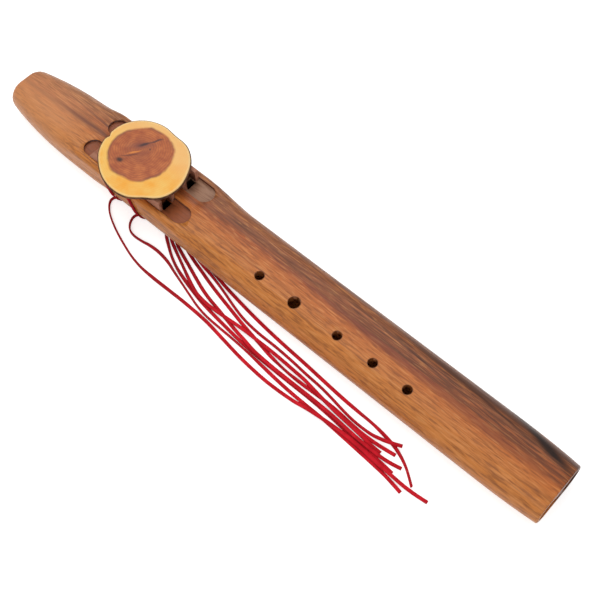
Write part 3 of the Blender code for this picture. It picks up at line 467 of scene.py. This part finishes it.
def slice_piece(name, profile, material, endless):
    """One surface of the branch slice, with a value that rises to 1 towards its edge."""
    mesh = grid_mesh(name, slice_rings(profile), endless)
    mesh.shade_smooth()
    mesh.set_sharp_from_angle(angle=math.radians(SLICE_SHARP))
    inward = np.array([(1 - share) * SLICE_REACH[0] + inset for share, inset, _ in profile])
    mark_points(mesh, "rim", np.repeat(np.clip(1 - inward / PALE_BAND, 0, 1), SLICE_SIDES))
    piece = link_piece(name, mesh, material)
    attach(piece, "totem")
    return piece


def make_slice_wood(material):
    """The slice: flat on top, with a small rounded edge, and drawn in towards its underside."""
    edge = bpy.context.scene.flute_sizes.bark_thickness
    top = [(share, edge, SLICE_HIGH) for share in TOP_SHARES]
    side = [(1, edge + EDGE_RADIUS, SLICE_HIGH), (1, edge + EDGE_BEVEL, SLICE_HIGH - EDGE_BEVEL),
            (1, edge, SLICE_HIGH - EDGE_RADIUS), (1, edge, SLICE_HALFWAY),
            (1, edge + SLICE_UNDERCUT, SLICE_LOW)]
    under = [(share, edge, SLICE_LOW) for share in UNDER_SHARES]
    piece = slice_piece("branch_slice", top + side + under, material, False)
    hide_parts("totem_slice")
    return piece


def make_slice_bark(material):
    """The bark: a thin hoop outside the slice, with a rounded upper lip."""
    skin = bpy.context.scene.flute_sizes.bark_thickness - BARK_GAP
    lip = SLICE_HIGH - LIP_DROP
    profile = [(1, skin + SLICE_UNDERCUT, SLICE_LOW), (1, skin, SLICE_HALFWAY), (1, skin, lip),
               (1, skin / 2, lip + LIP_CROWN), (1, 0, lip - LIP_ROUNDING), (1, 0, SLICE_HALFWAY),
               (1, SLICE_UNDERCUT, SLICE_LOW)]
    piece = slice_piece("branch_bark", profile, material, True)
    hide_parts("slice_bark")
    return piece


class Recipe:
    """A material under construction: adds shader nodes and links them in one call each."""

    def __init__(self, name, roughness, coat=0.0):
        self.material = bpy.data.materials.new(name)
        self.material.use_nodes = True
        self.tree = self.material.node_tree
        self.shader = self.tree.nodes["Principled BSDF"]
        self.shader.inputs["Roughness"].default_value = roughness
        self.shader.inputs["Coat Weight"].default_value = coat
        self.shader.inputs["Coat Roughness"].default_value = COAT_ROUGHNESS
        self.shader.inputs["Specular IOR Level"].default_value = SPECULAR_LEVEL
        self.place = self.add("ShaderNodeTexCoord").outputs["Object"]

    def add(self, kind, inputs=None, **properties):
        """A new node with its properties, and its inputs set or linked."""
        made = self.tree.nodes.new(kind)
        for key, value in properties.items():
            setattr(made, key, value)
        for key, value in (inputs or {}).items():
            self.set(made.inputs[key], value)
        return made

    def set(self, socket, value):
        """Links a socket to another one, or gives it a constant."""
        if isinstance(value, bpy.types.NodeSocket):
            self.tree.links.new(value, socket)
        else:
            socket.default_value = value

    def math(self, operation, first, second=0.0, third=0.0):
        return self.add("ShaderNodeMath", {0: first, 1: second, 2: third}, operation=operation).outputs[0]

    def vector(self, operation, first, second):
        """A vector operation on two vectors: its vector and its value are in the outputs."""
        return self.add("ShaderNodeVectorMath", {0: first, 1: second}, operation=operation).outputs

    def ramp(self, factor, *stops):
        """Colour at the factor's place between the stops, each a position and a colour."""
        made = self.add("ShaderNodeValToRGB", {"Fac": factor})
        band = made.color_ramp
        while len(band.elements) < len(stops):
            band.elements.new(0.5)
        for element, (position, colour) in zip(band.elements, stops):
            element.position = position
            element.color = (*colour, 1.0)
        return made.outputs["Color"]

    def spread(self, value, start, end, low=0.0, high=1.0):
        """Goes smoothly from low to high while the value goes from start to end."""
        return self.add("ShaderNodeMapRange", {"Value": value, "From Min": start, "From Max": end,
                                               "To Min": low, "To Max": high},
                        interpolation_type="SMOOTHSTEP").outputs["Result"]

    def noise(self, scale, detail, offset=(0.0, 0.0, 0.0), distortion=0.0):
        """Noise from 0 to 1 with so many waves to the metre along each axis."""
        place = self.add("ShaderNodeMapping", {"Vector": self.place, "Scale": scale,
                                               "Location": offset}).outputs["Vector"]
        return self.add("ShaderNodeTexNoise", {"Vector": place, "Scale": 1.0, "Detail": detail,
                                               "Distortion": distortion}).outputs["Fac"]

    def mix(self, factor, first, second):
        """Mixes two colours: the node takes them at inputs 6 and 7 and gives output 2."""
        made = self.add("ShaderNodeMix", data_type="RGBA")
        self.set(made.inputs["Factor"], factor)
        for socket, value in ((made.inputs[6], first), (made.inputs[7], second)):
            if isinstance(value, tuple):
                value = (*value, 1.0)
            self.set(socket, value)
        return made.outputs[2]

    def distance(self, place, middle):
        """Distance of a flat place from a point in world metres."""
        return self.vector("DISTANCE", place, (*middle, 0.0))["Value"]

    def away(self, place, middle, degrees, half_length, half_width):
        """Distance from a flat mark's middle, measured in its own half length and half width."""
        moved = self.vector("SUBTRACT", place, (*middle, 0.0))["Vector"]
        turned = self.add("ShaderNodeVectorRotate", {"Vector": moved, "Angle": -math.radians(degrees)},
                          rotation_type="Z_AXIS").outputs["Vector"]
        sized = self.vector("MULTIPLY", turned, (1 / half_length, 1 / half_width, 0.0))["Vector"]
        return self.add("ShaderNodeVectorMath", {0: sized}, operation="LENGTH").outputs["Value"]

    def paint_marks(self, colour, place, marks, outer, inner):
        """Lays soft oval marks over a colour: each is full within the inner share of its size and
        gone past the outer share."""
        for middle, degrees, half_length, half_width, strength, tint in marks:
            away = self.away(place, middle, degrees, half_length, half_width)
            colour = self.mix(self.spread(away, outer, inner, 0.0, strength), colour, tint)
        return colour

    def finish(self, colour, height, depth, roughness=None):
        """Gives the shader its colour, its bumps and, where it varies, its roughness."""
        self.set(self.shader.inputs["Base Color"], colour)
        if roughness is not None:
            self.set(self.shader.inputs["Roughness"], roughness)
        bump = self.add("ShaderNodeBump", {"Height": height, "Distance": depth, "Strength": 1.0})
        self.set(self.shader.inputs["Normal"], bump.outputs["Normal"])
        return self.material


def middle_line(wood, x, wandered, streak):
    """Strength of the dark line that runs along the body near its middle."""
    stops = [(place, (share,) * 3) for place, share in LINE_DRIFT]
    drift = wood.ramp(wood.spread(x, MOUTH_X, -MOUTH_X), *stops)
    line_y = wood.math("MULTIPLY_ADD", drift, LINE_SPAN, -LINE_SPAN / 2)
    off = wood.math("ABSOLUTE", wood.math("SUBTRACT", wandered, line_y))
    return wood.math("MULTIPLY", wood.spread(off, 0.0060, 0.0, 0.0, 0.55),
                     wood.spread(streak, 0.35, 0.55, 0.35, 1.0))


def foot_line(wood, x, y):
    """Strength of the dark line along the drone side of the foot end."""
    off = wood.math("ABSOLUTE", wood.math("SUBTRACT", y, 0.0205))
    return wood.math("MULTIPLY", wood.spread(x, 0.12, 0.17), wood.spread(off, 0.0035, 0.0005, 0.0, 0.85))


def end_shades(wood, colour, x, y, fine):
    """Browner on the drone side of the foot, paler and pinker at the mouth, and dark fine lines on
    the drone side that are strongest at the foot."""
    footward = wood.math("MULTIPLY", wood.spread(x, 0.05, 0.20), wood.spread(y, 0.004, 0.020, 0.0, 0.5))
    colour = wood.mix(footward, colour, FOOT_BROWN)
    colour = wood.mix(wood.spread(x, -0.17, -0.24, 0.0, 0.5), colour, MOUTH_PINK)
    lines = wood.math("MULTIPLY", wood.spread(fine, 0.46, 0.58), wood.spread(x, 0.0, 0.16, 0.35, 0.85))
    return wood.mix(wood.math("MULTIPLY", wood.spread(y, -0.004, 0.014), lines), colour, DRONE_BROWN)


def slot_floors(wood, colour, x, y, z, fleck):
    """Nest slots below the deck: russet, tan past the block on the drone side, with painted shade up their
    walls and in the windows below their floors.
    """
    floor_z = DECK_Z - SLOT_DEPTH
    past_start = wood.spread(x, SLOT_START_X - SLOT_MARGIN, SLOT_START_X - SLOT_MARGIN / 2)
    before_end = wood.spread(x, SLOT_END_X + SLOT_MARGIN, SLOT_END_X + SLOT_MARGIN / 2)
    below_deck = wood.spread(z, DECK_Z - DECK_FADE, DECK_Z - 2 * DECK_FADE)
    within = wood.spread(wood.math("ABSOLUTE", y), SLOT_SIDE_Y + DECK_FADE, SLOT_SIDE_Y - DECK_FADE)
    inside = wood.math("MULTIPLY", below_deck, within)
    inside = wood.math("MULTIPLY", inside, wood.math("MULTIPLY", past_start, before_end))
    tan = wood.math("MULTIPLY", wood.spread(y, -0.004, 0.004), wood.spread(x, -0.125, -0.100))
    floor = wood.mix(tan, MELODY_SLOT, DRONE_SLOT)
    floor = wood.mix(wood.spread(fleck, 0.48, 0.66, 0.0, 0.4), floor, SLOT_FLECK)
    # Painted shade up the walls
    floor = wood.mix(wood.spread(z, floor_z + DECK_FADE, floor_z + WALL_FADE), floor, SLOT_WALL_SHADE)
    # Painted shade in the windows below the floor, darkest at the shade depth
    window_shade = wood.spread(z, floor_z - 0.0003, DECK_Z - SHADE_DEPTH)
    return wood.mix(inside, colour, wood.mix(window_shade, floor, SLOT_SHADE))


def hole_rims_and_shade(wood, colour, x, y):
    """A narrow dark rim of burnt wood round each finger hole, and painted shade inside the hole, which
    stays dark.
    """
    flat = wood.add("ShaderNodeCombineXYZ", {"X": x, "Y": y}).outputs["Vector"]
    rim = 0.0
    for along, diameter in FINGER_HOLES:
        gap = wood.distance(flat, (MOUTH_X + along, HOLE_LINE_Y))
        # Dark from the burnt rim inwards, so the inside of the hole gets painted shade
        ring = wood.spread(gap, diameter / 2 + HOLE_RIM, diameter / 2, 0.0, 0.6)
        rim = wood.math("MAXIMUM", ring, rim)
    return wood.mix(rim, colour, HOLE_BURN_AND_SHADE)


def body_wood(name, holes):
    """Oiled wood with its grain along the flute: golden on the melody side, redder in the middle
    and greyer on the drone side, with dark streaks that wander along it."""
    settings = bpy.context.scene.flute_wood
    wood = Recipe(name, 0.42, 0.04)
    split = wood.add("ShaderNodeSeparateXYZ", {"Vector": wood.place}).outputs
    x, y, z = split["X"], split["Y"], split["Z"]
    fine = wood.noise(FINE_GRAIN, 6.0)
    fleck = wood.noise(FLECK_GRAIN, 4.0, (1.0, 6.0, 3.0), 0.3)
    streak = wood.noise(STREAK_GRAIN, 5.0, (3.0, 1.0, 2.0), 0.5)
    broad = wood.noise(BROAD_GRAIN, 3.0, (7.0, 4.0, 1.0), 0.6)
    wander = wood.math("MULTIPLY_ADD", broad, GRAIN_WANDER, -GRAIN_WANDER / 2)
    wandered = wood.math("ADD", y, wander)
    colour = wood.ramp(wood.spread(wandered, -COLOUR_REACH, COLOUR_REACH),
                       (0.0, tuple(settings.golden)), (0.42, tuple(settings.amber)),
                       (0.60, tuple(settings.russet)), (1.0, tuple(settings.umber)))
    dark = wood.math("MULTIPLY", wood.spread(streak, 0.50, 0.72), wood.spread(y, -0.010, 0.020, 0.22, 0.75))
    colour = wood.mix(dark, colour, tuple(settings.streak))
    colour = wood.mix(wood.spread(streak, 0.28, 0.45, 0.30, 0.0), colour, tuple(settings.golden))
    colour = wood.mix(wood.spread(fleck, 0.50, 0.66, 0.0, 0.50), colour, GRAIN_DARK)
    colour = wood.mix(wood.spread(fleck, 0.48, 0.34, 0.0, 0.42), colour, GRAIN_PALE)
    colour = wood.mix(middle_line(wood, x, wandered, streak), colour, tuple(settings.streak))
    colour = wood.mix(foot_line(wood, x, y), colour, FOOT_BLACK)
    colour = wood.mix(wood.spread(fine, 0.42, 0.78, 0.0, 0.45), colour, PORE_BROWN)
    colour = end_shades(wood, colour, x, y, fine)
    waved = wood.math("ADD", y, wood.math("MULTIPLY", streak, STREAK_WAVE))
    place = wood.add("ShaderNodeCombineXYZ", {"X": x, "Y": waved}).outputs["Vector"]
    colour = wood.paint_marks(colour, place, BODY_STREAKS, 1.2, 0.2)
    if holes:
        colour = slot_floors(wood, colour, x, y, z, fleck)
        colour = hole_rims_and_shade(wood, colour, x, y)
    return wood.finish(colour, fine, 0.00012, wood.spread(fine, 0.3, 0.8, 0.34, 0.52))


def block_wood():
    """Close-grained pinkish wood, darker in its streaks."""
    wood = Recipe("block_wood", 0.5)
    fine = wood.noise(BLOCK_GRAIN, 5.0)
    bands = wood.noise(BLOCK_BANDS, 3.0, (2.0, 5.0, 1.0))
    colour = wood.ramp(bands, (0.30, BLOCK_DARK), (0.70, BLOCK_PALE))
    colour = wood.mix(wood.spread(fine, 0.45, 0.8, 0.0, 0.4), colour, BLOCK_PORE)
    return wood.finish(colour, fine, 0.00010)


def bent_place(wood):
    """Place on the slice's flat, bent by a slow noise so that rings and borders wander."""
    blur = wood.add("ShaderNodeTexNoise", {"Vector": wood.place, "Scale": 55.0, "Detail": 3.0})
    centred = wood.vector("SUBTRACT", blur.outputs["Color"], (0.5, 0.5, 0.5))["Vector"]
    bend = wood.vector("MULTIPLY", centred, (RING_BEND, RING_BEND, RING_BEND))["Vector"]
    bent = wood.vector("ADD", wood.place, bend)["Vector"]
    return wood.vector("MULTIPLY", bent, (1.0, 1.0, 0.0))["Vector"]


def slice_wood():
    """End grain: growth rings round the pith, russet heartwood inside yellow sapwood, a small
    knot and a few dark checks."""
    wood = Recipe("slice_end_grain", 0.38, 0.05)
    bent = bent_place(wood)
    from_pith = wood.distance(bent, PITH)
    from_heart = wood.distance(bent, HEARTWOOD_MIDDLE)
    ring_spacing = bpy.context.scene.flute_sizes.ring_spacing
    wave = wood.math("SINE", wood.math("MULTIPLY", from_pith, 2 * math.pi / ring_spacing))
    ring = wood.spread(wave, 0.0, 1.0, 0.0, 0.34)
    mottle = wood.noise(END_GRAIN, 5.0)
    cloud = wood.noise(SAP_CLOUDS, 3.0, (2.0, 0.0, 5.0))
    heart = wood.ramp(mottle, (0.32, HEART_DARK), (0.68, HEART_PALE))
    heart = wood.mix(ring, heart, HEART_RING)
    heart = wood.mix(wood.spread(from_pith, 0.018, 0.004, 0.0, 0.45), heart, HEART_CORE)
    border = wood.math("MULTIPLY", wood.spread(from_heart, HEARTWOOD_RADIUS - 0.0035, HEARTWOOD_RADIUS),
                       wood.spread(cloud, 0.40, 0.60, 0.1, 0.7))
    heart = wood.mix(border, heart, HEART_BORDER)
    sap = wood.ramp(cloud, (0.35, SAP_ORANGE), (0.65, SAP_YELLOW))
    sap = wood.mix(wood.math("MULTIPLY", ring, 0.45), sap, SAP_RING)
    across = wood.add("ShaderNodeSeparateXYZ", {"Vector": bent}).outputs["Y"]
    sap = wood.mix(wood.spread(across, -0.010, 0.022, 0.0, 0.55), sap, SAP_PEACH)
    rim = wood.add("ShaderNodeAttribute", attribute_name="rim").outputs["Fac"]
    sap = wood.mix(wood.spread(rim, 0.2, 0.8, 0.0, 0.6), sap, SAP_RIM)
    outward = wood.spread(from_heart, HEARTWOOD_RADIUS - 0.0012, HEARTWOOD_RADIUS + 0.0016)
    colour = wood.paint_marks(wood.mix(outward, heart, sap), bent, SLICE_MARKS, 1.3, 0.3)
    return wood.finish(colour, mottle, 0.00008)


def bark_skin():
    """Thin dark bark: lumpy."""
    bark = Recipe("bark_skin", 0.85)
    lumps = bark.noise(BARK_LUMPS, 6.0)
    return bark.finish(bark.ramp(lumps, (0.30, BARK_DARK), (0.72, BARK_PALE)), lumps, 0.0005)


def red_suede(name, has_edges):
    """Matt red suede: a short nap that mottles its colour, darker towards the ties as painted shade near
    the body and, on a free lace, along its cut edges."""
    settings = bpy.context.scene.flute_suede
    dark = tuple(settings.edge_and_shade_red)
    suede = Recipe(name, 0.9)
    suede.shader.inputs["Sheen Weight"].default_value = SUEDE_SHEEN
    suede.shader.inputs["Sheen Tint"].default_value = (*SHEEN_TINT, 1.0)
    along = suede.add("ShaderNodeSeparateXYZ", {"Vector": suede.place}).outputs["X"]
    nap = suede.noise(SUEDE_NAP, 4.0)
    patch = suede.noise(SUEDE_PATCHES, 3.0)
    colour = suede.mix(suede.spread(patch, 0.35, 0.65), tuple(settings.red), tuple(settings.light_red))
    colour = suede.mix(suede.spread(nap, 0.45, 0.75, 0.0, 0.35), colour, dark)
    # Painted shade: darker towards the mouth end, where the laces and ties lie by the body
    colour = suede.mix(suede.spread(along, 0.02, -0.08, 0.0, 0.55), colour, dark)
    if has_edges:
        edge = suede.add("ShaderNodeAttribute", attribute_name="cut_edge").outputs["Fac"]
        colour = suede.mix(suede.spread(edge, 0.75, 1.0, 0.0, 0.65), colour, dark)
    return suede.finish(colour, nap, 0.00015)


def colour_setting(name, description, value):
    """A colour property that the panel shows as a colour field."""
    return bpy.props.FloatVectorProperty(name=name, description=description, default=value, size=3,
                                         min=0.0, max=1.0, subtype="COLOR")


def size_setting(name, description, value):
    """A length property in metres."""
    return bpy.props.FloatProperty(name=name, description=description, default=value, min=0.0001,
                                   precision=5, unit="LENGTH")


class FluteSizeSettings(bpy.types.PropertyGroup):
    """Sizes of the laces and of the slice's bark and rings"""
    lace_width: size_setting("Lace width", "Width of the flat suede lace", 0.0030)
    lace_thickness: size_setting("Lace thickness", "Thickness of the suede", 0.0015)
    bark_thickness: size_setting("Bark thickness", "Room for the bark round the slice", 0.0008)
    ring_spacing: size_setting("Ring spacing", "Distance between two growth rings", 0.0019)


class FluteWoodSettings(bpy.types.PropertyGroup):
    """Base colours of the body's wood"""
    golden: colour_setting("Golden", "Wood on the melody side", (0.60, 0.205, 0.042))
    amber: colour_setting("Amber", "Wood between side and middle", (0.55, 0.155, 0.030))
    russet: colour_setting("Russet", "Wood in the middle", (0.46, 0.110, 0.024))
    umber: colour_setting("Umber", "Wood on the drone side", (0.33, 0.120, 0.048))
    streak: colour_setting("Streak", "Dark streaks in the grain", (0.10, 0.032, 0.016))


class FluteSuedeSettings(bpy.types.PropertyGroup):
    """Colours of the ties and laces"""
    red: colour_setting("Red", "Colour of the flat side", (0.56, 0.004, 0.014))
    light_red: colour_setting("Light red", "Brushed patches", (0.72, 0.010, 0.024))
    # Dark red of the cut edges and of the nap, also used for the painted shade near the body
    edge_and_shade_red: colour_setting("Edge red", "Cut edges", (0.20, 0.004, 0.008))


class FluteStageSettings(bpy.types.PropertyGroup):
    """Lamps and sky of the studio"""
    key_power: bpy.props.FloatProperty(name="Key light", description="Power of the large soft lamp",
                                       default=7.0, min=0.0, subtype="POWER")
    fill_power: bpy.props.FloatProperty(name="Fill light", description="Power of the second lamp",
                                        default=3.5, min=0.0, subtype="POWER")
    sky: bpy.props.FloatProperty(name="Sky", description="Strength of the even light around",
                                 default=0.55, min=0.0, subtype="FACTOR")


class FLUTE_OT_stage(bpy.types.Operator):
    """Camera, floor and soft lamps"""
    bl_idname = "flute.stage"
    bl_label = "Set the studio"

    def execute(self, context):
        settings = context.scene.flute_stage
        context.scene.view_settings.view_transform = "Standard"
        self.place_camera(context)
        self.light_sky(context, settings.sky)
        self.hang_lamp(context, "key", settings.key_power, KEY_PLACE, KEY_SIDE)
        self.hang_lamp(context, "fill", settings.fill_power, FILL_PLACE, FILL_SIDE)
        self.lay_floor(context)
        return {"FINISHED"}

    def place_camera(self, context):
        view = bpy.data.cameras.new("camera")
        view.angle = CAMERA_ANGLE
        camera = bpy.data.objects.new("camera", view)
        camera.location = CAMERA_PLACE
        aim = Vector(CAMERA_TARGET) - Vector(CAMERA_PLACE)
        camera.rotation_euler = aim.to_track_quat("-Z", "Y").to_euler()
        context.scene.collection.objects.link(camera)
        context.scene.camera = camera

    def light_sky(self, context, strength):
        sky = bpy.data.worlds.new("sky")
        sky.use_nodes = True
        background = sky.node_tree.nodes["Background"]
        background.inputs["Color"].default_value = (1.0, 1.0, 1.0, 1.0)
        background.inputs["Strength"].default_value = strength
        context.scene.world = sky

    def hang_lamp(self, context, name, power, place, side):
        lamp = bpy.data.lights.new(name, "AREA")
        lamp.energy = power
        lamp.size = side
        item = bpy.data.objects.new(name, lamp)
        item.location = place
        item.rotation_euler = (-Vector(place)).to_track_quat("-Z", "Y").to_euler()
        context.scene.collection.objects.link(item)

    def lay_floor(self, context):
        """A flat square, white where the camera or a reflection sees it, but for its shadows."""
        half = FLOOR_HALF
        mesh = bpy.data.meshes.new("floor")
        mesh.from_pydata([(-half, -half, 0), (half, -half, 0), (half, half, 0), (-half, half, 0)], [],
                         [(0, 1, 2, 3)])
        floor = bpy.data.objects.new("floor", mesh)
        context.scene.collection.objects.link(floor)
        material = bpy.data.materials.new("floor_white")
        material.use_nodes = True
        tree = material.node_tree
        tree.nodes.remove(tree.nodes["Principled BSDF"])
        matt = tree.nodes.new("ShaderNodeBsdfDiffuse")
        matt.inputs["Color"].default_value = (*FLOOR_GREY, 1.0)
        glow = tree.nodes.new("ShaderNodeEmission")
        rays = tree.nodes.new("ShaderNodeLightPath")
        seen = tree.nodes.new("ShaderNodeMath")
        seen.operation = "MAXIMUM"
        tree.links.new(rays.outputs["Is Camera Ray"], seen.inputs[0])
        tree.links.new(rays.outputs["Is Glossy Ray"], seen.inputs[1])
        strength = tree.nodes.new("ShaderNodeMath")
        strength.operation = "MULTIPLY"
        strength.inputs[1].default_value = FLOOR_GLOW
        tree.links.new(seen.outputs[0], strength.inputs[0])
        tree.links.new(strength.outputs[0], glow.inputs["Strength"])
        both = tree.nodes.new("ShaderNodeAddShader")
        tree.links.new(matt.outputs[0], both.inputs[0])
        tree.links.new(glow.outputs[0], both.inputs[1])
        tree.links.new(both.outputs[0], tree.nodes["Material Output"].inputs["Surface"])
        mesh.materials.append(material)


class FLUTE_OT_laces(bpy.types.Operator):
    """Free laces of the ties and the fringe"""
    bl_idname = "flute.laces"
    bl_label = "Lay the laces"

    def execute(self, context):
        for name in LACE_ROUTES:
            make_lace(name, red_suede(name + "_suede", True))
        return {"FINISHED"}


class FLUTE_OT_body(bpy.types.Operator):
    """Both glued halves of the body"""
    bl_idname = "flute.body"
    bl_label = "Finish the body"

    def execute(self, context):
        for node, wood in (("body_top_half", body_wood("body_top_wood", True)),
                           ("body_bottom_half", body_wood("body_under_wood", False))):
            dress_copy(node, "flute", wood)
        return {"FINISHED"}


class FLUTE_OT_totem(bpy.types.Operator):
    """Block, branch slice and bark"""
    bl_idname = "flute.totem"
    bl_label = "Finish the block and slice"

    def execute(self, context):
        dress_copy("totem_block", "totem", block_wood())
        make_slice_wood(slice_wood())
        make_slice_bark(bark_skin())
        return {"FINISHED"}


class FLUTE_OT_ties(bpy.types.Operator):
    """Tie loops, knots and the fringe's header"""
    bl_idname = "flute.ties"
    bl_label = "Finish the ties"

    def execute(self, context):
        for node in TIE_NODES:
            dress_copy(node, "flute", red_suede(node + "_nap", False), SOFT_SHARP)
        return {"FINISHED"}


class FLUTE_PT_panel(bpy.types.Panel):
    """The flute's pieces and finishes"""
    bl_idname = "FLUTE_PT_panel"
    bl_label = "Double Flute"
    bl_space_type = "VIEW_3D"
    bl_region_type = "UI"
    bl_category = "Flute"

    def draw(self, context):
        for operator in OPERATORS:
            self.layout.operator(operator.bl_idname)
        for group in SETTINGS:
            settings = getattr(context.scene, group)
            for name in settings.__annotations__:
                self.layout.prop(settings, name)


SETTINGS = {"flute_sizes": FluteSizeSettings, "flute_wood": FluteWoodSettings,
            "flute_suede": FluteSuedeSettings, "flute_stage": FluteStageSettings}
OPERATORS = (FLUTE_OT_stage, FLUTE_OT_laces, FLUTE_OT_body, FLUTE_OT_totem, FLUTE_OT_ties)


def register():
    for item in (*SETTINGS.values(), *OPERATORS, FLUTE_PT_panel):
        bpy.utils.register_class(item)
    for name, settings in SETTINGS.items():
        setattr(bpy.types.Scene, name, bpy.props.PointerProperty(type=settings))


def unregister():
    for name in SETTINGS:
        delattr(bpy.types.Scene, name)
    for item in (FLUTE_PT_panel, *reversed(OPERATORS), *reversed(SETTINGS.values())):
        bpy.utils.unregister_class(item)


def main():
    register()
    bpy.ops.flute.stage()
    bpy.ops.flute.laces()
    bpy.ops.flute.body()
    bpy.ops.flute.totem()
    bpy.ops.flute.ties()


if __name__ == "__main__":
    main()
